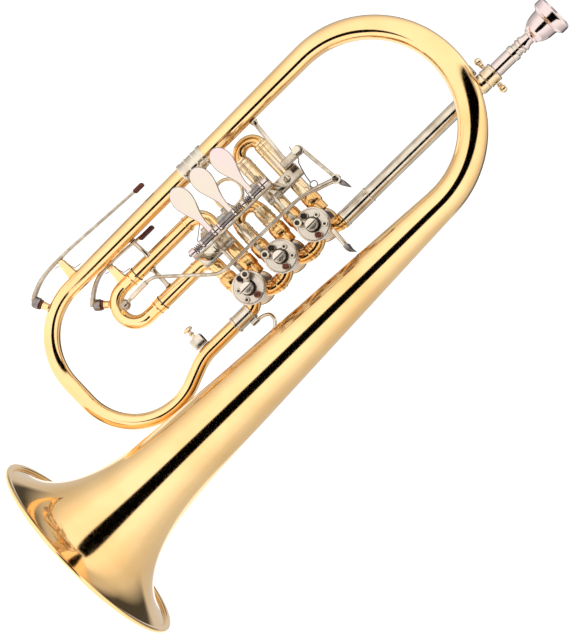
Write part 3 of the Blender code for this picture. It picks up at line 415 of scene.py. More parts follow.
def block(low, high, width=None):
    """A box with rounded edges between two corners."""
    bpy.ops.object.select_all(action="DESELECT")
    bpy.ops.mesh.primitive_cube_add(size=1, location=(at(*low) + at(*high)) / 2)
    thing = bpy.context.object
    thing.scale = at(*high) - at(*low)
    bpy.ops.object.transform_apply(location=True, rotation=True, scale=True)
    return soften(thing, width)


def plate(outline, near, far, width=None, face="XZ"):
    """An outline drawn in the x-z plane (or x-y for face XY), extruded and softened."""
    if face == "XZ":
        points = [at(x, near, z) for x, z in outline]
        depth = Vector((0, far - near, 0)) * MM
    else:
        points = [at(x, y, near) for x, y in outline]
        depth = Vector((0, 0, far - near)) * MM
    thing = sketch(points, [], [tuple(range(len(points)))])
    bpy.ops.mesh.extrude_region_move(TRANSFORM_OT_translate={"value": depth})
    tidy_mesh()
    return soften(thing, width)


def paint(thing, name):
    thing.data.materials.clear()
    thing.data.materials.append(finish(name))
    return thing


class Shapes(list):
    """Painted shapes that will be joined into one piece."""

    def turned(self, tone, *form, **options):
        self.append(paint(turned(*form, **options), tone))

    def tube(self, tone, *form):
        self.append(paint(tube(*form), tone))

    def block(self, tone, *form):
        self.append(paint(block(*form), tone))

    def plate(self, tone, *form):
        self.append(paint(plate(*form), tone))


def dress(node, name, shapes):
    """Joins painted shapes into one piece that stands for a solid and moves with its body."""
    alone(shapes[0])
    for shape in shapes[1:]:
        shape.select_set(True)
    if len(shapes) > 1:
        bpy.ops.object.join()
    piece = bpy.context.object
    piece.name = piece.data.name = name
    bpy.ops.object.shade_smooth_by_angle(angle=SMOOTH_ANGLE)
    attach(piece, BODY_OF[node])
    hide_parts(node)


# Lines and curves
def mix(a, b, share):
    return a + (b - a) * share


def polar(centre, radius, angle):
    return centre[0] + radius * cos(radians(angle)), centre[1] + radius * sin(radians(angle))


def arc(centre, radius, start, end, count):
    return [polar(centre, radius, mix(start, end, i / count)) for i in range(count + 1)]


def lengths(path):
    """Share of the whole length at each point of a path."""
    total, run = 0.0, [0.0]
    for a, b in zip(path, path[1:]):
        total += (Vector(b) - Vector(a)).length
        run.append(total)
    return [step / total for step in run]


def smooth(points, per=6):
    """A flowing curve through given points."""
    ends = [Vector(p) for p in points]
    ends = [2 * ends[0] - ends[1], *ends, 2 * ends[-1] - ends[-2]]
    course = []
    for a, b, c, d in zip(ends, ends[1:], ends[2:], ends[3:]):
        for i in range(per):
            t = i / per
            course.append(
                0.5 * (2 * b + (c - a) * t + (2 * a - 5 * b + 4 * c - d) * t * t
                       + (3 * b - a - 3 * c + d) * t * t * t)
            )
    return [*course, ends[-2]]


def low_bead(foot, place, radius, half, rise, steps):
    """A low bead round an upright tube."""
    profile = [(radius - 0.4, place - half), (radius - 0.4, place + half)]
    for angle in (0, 45, 90, 135, 180):
        along, out = half * cos(radians(angle)), rise * sin(radians(angle))
        profile.append((radius + out, place + along))
    return turned(profile, foot, "Z", steps, closed=True)


def band(inner, outer, start, end, edge=0.3):
    """Profile of a ring, or of a stub where inner is 0, with its outer corners cut."""
    step = edge if end > start else -edge
    return [
        (inner, start), (outer - edge, start), (outer, start + step), (outer, end - step),
        (outer - edge, end), (inner, end),
    ]


def leg_point(z):
    """The middle of the long leg at a height."""
    down = (BOW_Z - z) / (BOW_Z - LEG_LOW[2])
    return mix(LEG_TOP_X, LEG_LOW[0], down), LEG_LOW[1] * down, z


def bell_radius(z):
    """The bell's outer radius at a height: a slow cone with two flares at its foot."""
    cone = TAIL + BELL_TAPER * (BELL_TOP - z)
    return sum((growth * exp(-z / fade) for growth, fade in BELL_FLARES), cone)


# Pieces: bell and bows
class HORN_OT_bell(bpy.types.Operator):
    """Models the bell and its rolled rim"""

    bl_idname = "horn.bell"
    bl_label = "Bell"

    def execute(self, context):
        rings, skirt = 72, span("bell", 2)[0]
        outer, inner = [], []
        for i in range(rings + 1):
            z = mix(skirt, BELL_TOP, (i / rings) ** 2.2)
            slope = (bell_radius(z + 0.1) - bell_radius(z - 0.1)) / 0.2
            length = hypot(1, slope)
            outer.append((bell_radius(z), z))
            inner.append((bell_radius(z) - BELL_WALL / length, z + BELL_WALL * slope / length))
        steps = sizes().bell_steps
        sheet = turned(outer + inner[::-1], (0, 0, 0), "Z", steps, closed=True)
        dress("bell", "bell_flare", [paint(sheet, "gold")])
        low, high = span("bell_rim", 2)
        radius = span("bell_rim", 0)[1]
        width, round_off = 4.4, 1.2
        profile = [(radius - round_off, low), (radius - width + round_off, low)]
        corners = (
            (radius - width + round_off, low + round_off, 270, 180),
            (radius - width + round_off, high - round_off, 180, 90),
            (radius - round_off, high - round_off, 90, 0),
            (radius - round_off, low + round_off, 0, -90),
        )
        for cx, cz, start, end in corners:
            profile += arc((cx, cz), round_off, start, end, 6)[1:]
        rim = turned(profile[:-1], (0, 0, 0), "Z", steps, closed=True)
        dress("bell_rim", "rolled_rim", [paint(rim, "gold")])
        return {"FINISHED"}


class HORN_OT_bows(bpy.types.Operator):
    """Models the main bow, the long leg's ferrule and the rear branch"""

    bl_idname = "horn.bows"
    bl_label = "Bows"

    def execute(self, context):
        sides = sizes().round_sides
        bends, bow_end, leg_top, leg_end = 60, 7.5, 6.75, 6.7
        turn = [(x, 0, z) for x, z in arc((-BOW_RADIUS, BOW_Z), BOW_RADIUS, 0, 180, bends)]
        low, high = span("leg_ferrule", 2)
        path = [(0, 0, BELL_TOP - 0.1), *turn, leg_point(high), leg_point((low + high) / 2)]
        radii = [mix(TAIL, bow_end, (i / bends) ** 0.8) for i in range(bends + 1)]
        bow = tube(path, [TAIL, *radii, leg_top, leg_end], sides)
        dress("main_bow", "main_bow_tube", [paint(bow, "gold")])
        self.ferrules(low + 0.4, high - 0.4)
        self.rear_branch(sides)
        return {"FINISHED"}

    def ferrules(self, low, high):
        """Nickel sleeves with turned rings at the tube joints."""
        places = [low, low + 0.6, low + 2.4, low + 3.0, low + 3.6]
        places += [high - 3.6, high - 3.0, high - 2.4, high - 0.6, high]
        body, bead = 7.35, 7.8
        radii = [bead - 0.3, bead, bead, body, body, body, body, bead, bead, bead - 0.3]
        shapes = Shapes()
        shapes.tube("nickel", [leg_point(z) for z in places], radii, sizes().round_sides)
        for z in (mix(low, high, 0.36), mix(low, high, 0.66)):
            route = [leg_point(z - 0.7), leg_point(z), leg_point(z + 0.7)]
            shapes.tube("nickel", route, [body, bead, body], 40)
        dress("leg_ferrule", "leg_ferrule_sleeve", shapes)
        low, high = span("outlet_ferrule", 2)
        foot = (PIPE_X, PIPE_Y, 0)
        profile = [
            (4.9, low), (6.0, low), (6.3, low + 0.4), (6.3, low + 1.6), (5.9, low + 2.0),
            (5.9, high - 2.0), (6.3, high - 1.6), (6.3, high - 0.4), (6.0, high), (4.9, high),
        ]
        dress("outlet_ferrule", "outlet_sleeve", [paint(turned(profile, foot, closed=True), "nickel")])

    def rear_branch(self, sides):
        """The rear bow, the neck up to the third valve and the first key's spout and saddle."""
        left = arc(REAR_BOW, REAR_BOW_RADIUS, 180, 270, 30)
        right = arc(NECK_BOW, NECK_BOW_RADIUS, 270, 360 + NECK_LEAN, 36)
        bends = left + right
        low, high = span("leg_ferrule", 2)
        path = [leg_point((low + high) / 2)]
        for i, (x, z) in enumerate(bends):
            path.append((x, mix(LEG_LOW[1], VALVE_Y, i / (len(bends) - 1)), z))
        x, z = bends[-1]
        lean, straight, radius = radians(NECK_LEAN), 12.5, 39.0
        x, z = x - straight * sin(lean), z + straight * cos(lean)
        neck = arc(polar((x, z), radius, NECK_LEAN), radius, 180 + NECK_LEAN, 180, 10)
        path += [(px, VALVE_Y, pz) for px, pz in neck]
        path.append((PIPE_X, VALVE_Y, VALVES[2].z - 13.0))
        radii = [mix(6.6, 5.1, share**0.9) for share in lengths(path)]
        shapes = Shapes()
        shapes.tube("gold", path, radii, sides)
        shapes += key_seat(REAR_BOW, (50.5, 56.2), KEY_ANGLES[0], 10.6)
        shapes += key_saddle(KEY_PIVOTS[0], LEG_LOW[0], 6.3)
        dress("rear_branch", "rear_branch_tube", shapes)


def key_seat(centre, reach, angle, y):
    """The drain spout of a water key, with a rolled lip."""
    start, end = reach
    profile = ((start, 3.6), (start + 1.4, 2.7), (end - 0.8, 2.7), (end - 0.5, 2.95), (end, 2.95))
    return [paint(radial(centre, angle, y, profile), "gold")]


def radial(centre, angle, y, profile, sides=None):
    """A round shape that points away from a bow's centre: (distance, radius) in millimetres."""
    ends = (polar(centre, place, angle) for place, radius in profile)
    return tube([(x, y, z) for x, z in ends], [radius for place, radius in profile], sides)


def key_saddle(pivot, tube_x, tube_radius):
    """Two rounded ears that grow out of the tube, and the pin through them."""
    x, y, z = pivot
    shapes = Shapes()
    ears = ((-2.6, -1.3), (3.6, 4.9))
    for near, far in ears:
        root = tube_x - sqrt((tube_radius - 0.6) ** 2 - ((near + far) / 2) ** 2)
        outline = [(root, z - 3.2), (root, z + 3.2)]
        outline += arc((x, z), 2.2, 90, 270, 12)
        shapes.plate("gold", outline, y + near, y + far, 0.2)
    pin = [(x, y - 3.0, z), (x, y + 5.3, z)]
    shapes.tube("nickel", pin, 0.9, 16)
    return shapes


# Pieces: mouthpipe and mouthpiece
class HORN_OT_mouthpipe(bpy.types.Operator):
    """Models the leadpipe, receiver, clamp and screws, tuning mouthpipe and mouthpiece"""

    bl_idname = "horn.mouthpipe"
    bl_label = "Mouthpipe"

    def execute(self, context):
        foot = (PIPE_X, PIPE_Y, 0)
        self.leadpipe(foot)
        self.receiver(foot)
        self.clamp_screws()
        self.tuning_pipe(foot)
        self.mouthpiece(foot)
        return {"FINISHED"}

    def leadpipe(self, foot):
        low, high = span("leadpipe", 2)
        sleeve = low + 24.0
        profile = [
            (4.8, low), (5.7, low), (6.0, low + 0.4), (6.0, low + 1.6), (5.75, low + 1.9),
            (5.75, sleeve - 0.9), (5.95, sleeve - 0.6), (5.95, sleeve), (5.4, sleeve + 0.3),
            (5.4, high), (4.8, high),
        ]
        dress("leadpipe", "leadpipe_tube", [paint(turned(profile, foot, closed=True), "nickel")])

    def receiver(self, foot):
        low, high = span("mouthpipe_receiver", 2)
        profile = [
            (4.75, low), (5.9, low), (6.3, low + 0.5), (6.5, low + 1.4), (6.5, high - 0.5),
            (6.2, high), (4.75, high),
        ]
        collar = turned(profile, foot, closed=True)
        dress("mouthpipe_receiver", "receiver_collar", [paint(collar, "warm_nickel")])
        low, high = span("receiver_clamp", 2)
        profile = [
            (4.75, low), (6.6, low), (6.95, low + 0.5), (6.95, low + 1.1), (6.7, low + 1.4),
            (6.7, high - 1.4), (6.95, high - 1.1), (6.95, high - 0.5), (6.5, high), (4.75, high),
        ]
        shapes = Shapes()
        shapes.turned("warm_nickel", profile, foot, closed=True)
        for side in (-0.9, 0.9):
            corner = (PIPE_X + side - 0.45, PIPE_Y + 6.0, low + 1.6)
            other = (PIPE_X + side + 0.45, PIPE_Y + 8.6, high - 1.6)
            shapes.block("warm_nickel", corner, other)
        dress("receiver_clamp", "receiver_clamp_band", shapes)
        low, high = (tuple((Vector(c) - BELL_FOOT) / MM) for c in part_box("leadpipe_brace"))
        brace = paint(block(low, high, 1.2), "nickel")
        dress("leadpipe_brace", "leadpipe_brace_foot", [brace])

    def clamp_screws(self):
        """A small ball and a larger ball in line on a short stem."""
        for side, sign in (("left", -1), ("right", 1)):
            node = f"clamp_screw_{side}"
            start = min(span(node, 0), key=lambda x: abs(x - PIPE_X))
            centre = spot(node)
            profile = [(0, 0), (1.5, 0), (1.5, 0.5)]
            for place, radius, first, last in ((1.9, 1.95, -50, 62), (5.0, 2.75, -70, 90)):
                profile += [
                    (max(radius * cos(radians(angle)), 0), place + radius * sin(radians(angle)))
                    for angle in (mix(first, last, i / 10) for i in range(11))
                ]
            seat = (start, centre.y, centre.z)
            screw = turned(profile, seat, "X", 24, flip=sign)
            dress(node, f"{node}_balls", [paint(screw, "warm_nickel")])

    def tuning_pipe(self, foot):
        low, high = span("tuning_mouthpipe", 2)
        shoulder = span("receiver_clamp", 2)[1] + 0.4
        shank, sleeve, bore, socket, socket_floor = 4.4, 5.2, 3.4, 4.45, 419.0
        profile = [
            (bore, low), (shank, low), (shank, shoulder), (sleeve - 0.3, shoulder + 0.2),
            (sleeve, shoulder + 0.6), (sleeve, high - 3.4), (sleeve + 0.5, high - 3.0),
            (sleeve + 0.5, high - 0.5), (sleeve + 0.2, high), (socket, high), (socket, socket_floor),
            (bore, socket_floor),
        ]
        pipe = turned(profile, foot, closed=True)
        dress("tuning_mouthpipe", "tuning_mouthpipe_sleeve", [paint(pipe, "silver")])

    def mouthpiece(self, foot):
        low, top = span("mouthpiece", 2)
        rim = (span("mouthpiece", 0)[1] - span("mouthpiece", 0)[0]) / 2
        seat = span("tuning_mouthpipe", 2)[1] + 0.3
        shank = [(3.2, low), (4.05, low), (4.15, seat), (4.7, seat + 0.2), (4.8, seat + 1.8)]
        beads = [
            (4.4, 441.3), (4.4, 442.1), (5.1, 442.5), (5.4, 443.2), (5.4, 444.0), (5.0, 444.6),
            (4.5, 445.0), (5.3, 445.5), (5.5, 446.2), (5.2, 447.0), (4.5, 448.2), (4.2, 450.0),
            (4.3, 452.2), (5.6, 452.9), (5.9, 453.5), (5.7, 454.1),
        ]
        cup = [(6.4, 454.6), (7.9, 456.6), (9.0, 459.2), (9.7, 462.4), (10.0, 466.2), (10.3, 467.6)]
        round_off = 2.4
        rim_curve = [(rim - 0.8, 469.0), (rim, 470.0)]
        rim_curve += arc((rim - round_off, top - round_off), round_off, 0, 90, 3)
        inner = [(rim - 3.4, top), (9.1, top - 1.2), (8.5, top - 2.6), (8.0, 466.0), (6.6, 460.0)]
        inner += [(4.2, 453.0), (2.4, 448.0)]
        profile = shank + beads + cup + rim_curve + inner
        cup_piece = turned(profile, foot, closed=True)
        dress("mouthpiece", "mouthpiece_cup", [paint(cup_piece, "silver")])


# Pieces: valves
PIN_RADIUS = 9.0
PIN_ANGLE = 220.0
BUMPERS = ((183.0, "black_cork"), (347.0, "cork"))
BUMPER_PLACE = 8.0
PLATE_SCREWS = ((-3.0, 6.2), (5.2, 6.2))
HINGE_X, HINGE_Y = spot("hinge_rod")[:2]
CRANK = 24.6
CRANK_REST = 20.0
LINK_Y = spot("link_1").y


def mirror_of(number):
    """The third valve's linkage is the other way up."""
    return -1 if number == 3 else 1


def valve_spot(number, radius, angle):
    """A place on a stop plate, seen from the touch plates."""
    x, rise = polar((VALVE_X, 0), radius, angle)
    return x, VALVES[number - 1].z + mirror_of(number) * rise


def cut_slot(thing, low, high):
    """Cuts a slot or a square bore with an applied Boolean."""
    cutter = block(low, high, 0.05)
    alone(thing)
    cut = thing.modifiers.new("slot", "BOOLEAN")
    cut.operation = "DIFFERENCE"
    cut.object = cutter
    bpy.ops.object.modifier_apply(modifier=cut.name)
    bpy.data.objects.remove(cutter)
    return thing


def screw_head(place, radius, depth, tone, slot=None):
    """A domed screw head that faces the touch plates, with or without a slot."""
    x, y, z = place
    edge = min(0.5, depth / 2)
    profile = [(0, depth), (radius, depth), (radius, edge), (radius - edge * 0.4, edge * 0.3)]
    profile += [(radius - edge, 0), (0, -0.1)]
    head = turned(profile, place, "Y", 32)
    if slot:
        half = slot / 2
        cut_slot(head, (x - radius - 1, y - 1, z - half), (x + radius + 1, y + depth / 2, z + half))
    return paint(head, tone)


class HORN_OT_valves(bpy.types.Operator):
    """Models the valve casings with their tubes, the caps, stop plates, stop arms and links"""

    bl_idname = "horn.valves"
    bl_label = "Valves"

    def execute(self, context):
        for number in (1, 2, 3):
            self.casing(number)
            self.cap(number)
            self.stop_plate(number)
            self.stop_arm(number)
            self.link(number)
            rotor = frame["nodes"][f"rotor_{number}"]
            rotor.data.materials.clear()
            rotor.data.materials.append(finish("gold"))
        return {"FINISHED"}

    def casing(self, number):
        """A drum with turned edges, knuckles at the slide ports and crooks on the bell side."""
        node = f"valve_casing_{number}"
        z = VALVES[number - 1].z
        near, far = 4.0, 32.0
        edge, waist = 11.5, 11.1
        profile = [
            (0, near), (edge - 0.5, near), (edge, near + 0.5), (edge, near + 2.2), (waist, near + 2.7),
            (waist, far - 2.7), (edge, far - 2.2), (edge, far - 0.5), (edge - 0.5, far), (0, far),
        ]
        shapes = Shapes()
        shapes.turned("brass", profile, (VALVE_X, 0, z), "Y", 72)
        end = span(node, 0)[0]
        for side in (1, -1):
            port = (0, VALVE_Y, z + side * PORT)
            shapes += self.slide_tube(port, end)
            shapes += self.crook(z, side)
        dress(node, f"{node}_work", shapes)

    def slide_tube(self, port, end):
        """A brass knuckle at the casing and, where there is room, a straw-coloured outer tube."""
        start, knuckle = VALVE_X - 5.0, VALVE_X - 21.0
        big, small = 6.15, PIPE
        profile = [
            (0, start), (small, start), (small, VALVE_X - 10.6), (big - 0.3, VALVE_X - 11.2),
            (big, VALVE_X - 12.2), (big, knuckle + 2.2), (big - 0.25, knuckle + 1.2),
            (small + 0.2, knuckle + 0.3), (small - 0.2, knuckle), (0, knuckle),
        ]
        if end > knuckle:
            profile = [point for point in profile if point[1] >= end + 2]
            profile += [(big - 0.25, end + 1.0), (small, end + 0.2), (0, end + 0.2)]
        shapes = Shapes()
        shapes.turned("brass", profile, port, "X")
        if end > knuckle:
            return shapes
        mouth = [
            (4.5, knuckle + 1), (small, knuckle + 1), (small, end + 5.4), (small + 0.3, end + 5.0),
            (small + 0.3, end + 4.2), (small, end + 3.8), (small, end + 0.9), (small + 0.3, end + 0.6),
            (small + 0.3, end), (4.5, end),
        ]
        shapes.turned("warm_nickel", mouth, port, "X", closed=True)
        return shapes

    def crook(self, z, side):
        """A bent tube from a casing's port to the line of the leadpipe, with a collar."""
        offset, reach = PIPE_X - VALVE_X, 15.1
        corner = [(4.5, 4.5), (6.4, 6.4), (7.9, 8.1), (8.9, 9.9), (9.4, 11.6)]
        corner += [(offset, 13.2), (offset, reach)]
        path = [(VALVE_X + x, VALVE_Y, z + side * rise) for x, rise in corner]
        shapes = Shapes()
        shapes.tube("brass", path, PIPE, 36)
        joint = (PIPE_X, VALVE_Y, z + side * reach)
        profile = [(4.9, -2.6), (5.6, -2.6), (5.85, -2.2), (5.85, -0.1), (5.6, 0.1), (4.9, 0.1)]
        shapes.turned("brass", profile, joint, "Z", 36, closed=True, flip=side)
        return shapes

    def cap(self, number):
        """A screw cap with a coin edge and a raised middle, at the back of the casing."""
        node = f"valve_cap_{number}"
        low, high = span(node, 1)
        z = VALVES[number - 1].z
        profile = [
            (0, low + 2.0), (3.1, low + 2.0), (3.1, low), (11.2, low), (11.7, low + 0.4),
            (11.7, low + 2.8), (11.3, low + 3.4), (10.6, low + 4.0), (10.0, low + 4.3), (9.4, low + 4.1),
            (8.8, low + 4.2), (4.4, low + 4.9), (3.6, low + 5.1), (3.2, high - 0.3), (2.6, high), (0, high),
        ]
        shapes = Shapes()
        shapes.turned("grey_steel_and_edge_shade", profile, (VALVE_X, 0, z), "Y", 72)
        teeth = 60
        for i in range(teeth):
            x, rise = polar((VALVE_X, z), 11.62, 360 * i / teeth)
            rib = [(x, low + 0.7, rise), (x, low + 2.6, rise)]
            shapes.tube("grey_steel_and_edge_shade", rib, 0.3, 8)
        dress(node, f"{node}_coin_edge", shapes)

    def stop_plate(self, number):
        """The front plate with a ring of painted shadow round its hole, its bumper corks and two screws."""
        node = f"stop_plate_{number}"
        z = VALVES[number - 1].z
        near, far = 0.6, 3.7
        edge = 11.8
        profile = [
            (3.3, near + 0.25), (edge - 1.5, near + 0.25), (edge - 1.2, near), (edge - 0.6, near),
            (edge - 0.15, near + 0.25), (edge, near + 0.7), (edge, far - 0.3), (edge - 0.3, far), (3.3, far),
        ]
        shapes = Shapes()
        shapes.turned("plate_nickel", profile, (VALVE_X, 0, z), "Y", 96, closed=True)
        # A black ring on the plate round the hub: painted shadow of the stop arm and corks.
        painted_shadow_ring = [(3.3, near + 0.2), (3.3, near - 0.05), (5.5, near - 0.05), (5.5, near + 0.2)]
        shapes.turned("black_steel_and_painted_shade", painted_shadow_ring, (VALVE_X, 0, z), "Y", 64, closed=True)
        for angle, tone in BUMPERS:
            x, rise = valve_spot(number, BUMPER_PLACE, angle)
            profile = [(0, 1.2), (2.0, 1.2), (2.0, -3.6), (1.7, -3.95), (0, -4.0)]
            shapes.turned(tone, profile, (x, 0, rise), "Y", 28)
            holder = [(1.9, 1.2), (2.7, 1.2), (2.7, -1.3), (2.4, -1.6), (1.9, -1.6)]
            shapes.turned("worn_shaded_nickel", holder, (x, 0, rise), "Y", 28, closed=True)
        for dx, dz in PLATE_SCREWS:
            place = (VALVE_X + dx, 0, z + mirror_of(number) * dz)
            head = [(0.95, 1.0), (2.0, 1.0), (2.0, -0.25), (1.75, -0.6), (1.05, -0.6), (0.95, -0.4)]
            shapes.turned("nickel", head, place, "Y", 24, closed=True)
            core = [(0, 0.9), (1.0, 0.9), (1.0, 0.1), (0, 0.1)]
            shapes.turned("black_steel_and_painted_shade", core, place, "Y", 16)
        dress(node, f"{node}_work", shapes)

    def stop_arm(self, number):
        """Hub, arm and pin on the rotor's spindle, under a large slotted screw."""
        node = f"stop_arm_{number}"
        z = VALVES[number - 1].z
        near, far = -4.5, -1.1
        shapes = Shapes()
        shapes.turned("worn_shaded_nickel", band(0, 4.4, far, near), (VALVE_X, 0, z), "Y", 48)
        x, rise = valve_spot(number, PIN_RADIUS, PIN_ANGLE)
        along = Vector((x - VALVE_X, rise - z)).normalized()
        across = Vector((-along.y, along.x)) * 2.1
        outline = [(VALVE_X + across.x, z + across.y), (VALVE_X - across.x, z - across.y)]
        outline += [(x - across.x, rise - across.y), (x + across.x, rise + across.y)]
        shapes.plate("worn_shaded_nickel", outline, near, far)
        eye = [(0, far), (2.4, far), (2.4, near + 0.2), (2.2, near), (0, near)]
        shapes.turned("worn_shaded_nickel", eye, (x, 0, rise), "Y", 28)
        pin = [(0, -4), (1.4, -4), (1.4, -8.9), (1.15, -9.2), (0.6, -9.2), (0.5, -8.9), (0, -8.9)]
        shapes.turned("black_steel_and_painted_shade", pin, (x, 0, rise), "Y", 24)
        head = screw_head((VALVE_X, -7.0, z), 4.2, 3.2, "plate_nickel")
        left, right = VALVE_X - 0.45, VALVE_X + 0.45
        cut_slot(head, (left, -8.0, z - 6.0), (right, -5.8, z + 6.0))
        shapes.append(head)
        # A black block at the bottom of the slot: painted shade in the slot.
        shapes.block("black_steel_and_painted_shade", (left, -6.3, z - 3.9), (right, -5.6, z + 3.9), 0.05)
        dress(node, f"{node}_work", shapes)

    def link(self, number):
        """A flat link with an eye round the stop-arm pin and an eye at the crank."""
        node = f"link_{number}"
        x, rise = valve_spot(number, PIN_RADIUS, PIN_ANGLE)
        crank_x = HINGE_X - CRANK * sin(radians(CRANK_REST))
        near, far = LINK_Y - 1.5, LINK_Y + 1.5
        shapes = Shapes()
        shapes.turned("nickel", band(1.75, 3.0, far, near), (x, 0, rise), "Y", 32, closed=True)
        sleeve = x - 13.0
        low, high = (sleeve, near + 0.1, rise - 1.5), (x - 2.3, far - 0.1, rise + 1.5)
        shapes.block("worn_shaded_nickel", low, high, 0.45)
        bar = [(crank_x + 2.8, LINK_Y, rise), (sleeve + 1, LINK_Y, rise)]
        shapes.tube("nickel", bar, 1.2, 24)
        eye = band(2.15, 3.4, -1.5, 1.5, 0.2)
        shapes.turned("worn_shaded_nickel", eye, (crank_x, LINK_Y, rise), "Z", 32, closed=True)
        dress(node, f"{node}_work", shapes)


# Pieces: touch levers
STEMS = (253.2, 234.5, 215.7)
BARRELS = ((250.5, 261.5), (221.0, 236.5), (204.5, 217.5))
KNUCKLES = ((194.5, 198.7), (217.8, 220.7), (242.5, 245.0), (261.8, 266.0))
SPRING_SPANS = ((245.65, 249.85), (241.85, 237.15), (199.35, 203.85))
SPRING_MEAN = 2.35
SPRING_WIRE = 0.35
TOUCH_NEAR, TOUCH_FAR = -33.5, -31.7


def touch_half(along):
    """Half the width of a touch plate at a distance from its hinge."""
    neck, wide, neck_half, half = 8.0, 30.0, 1.7, 7.0
    swell = min(max((along - neck) / (wide - neck), 0), 1)
    return mix(neck_half, half, swell * swell * (3 - 2 * swell))


def touch_outline(stem, grow=0.0):
    """The spoon outline of a touch plate, grown on all sides for its dark rim of painted edge shade."""
    length, half, end, steps = 30.0, 7.0, 10.0, 28
    outline = []
    for i in range(steps + 1):
        along = mix(1.6, length, i / steps)
        outline.append((HINGE_X - along, stem + touch_half(along) + grow))
    for angle in range(5, 180, 5):
        x = HINGE_X - length - (end + grow) * sin(radians(angle))
        outline.append((x, stem + (half + grow) * cos(radians(angle))))
    return outline + [(x, 2 * stem - z) for x, z in outline[steps::-1]]


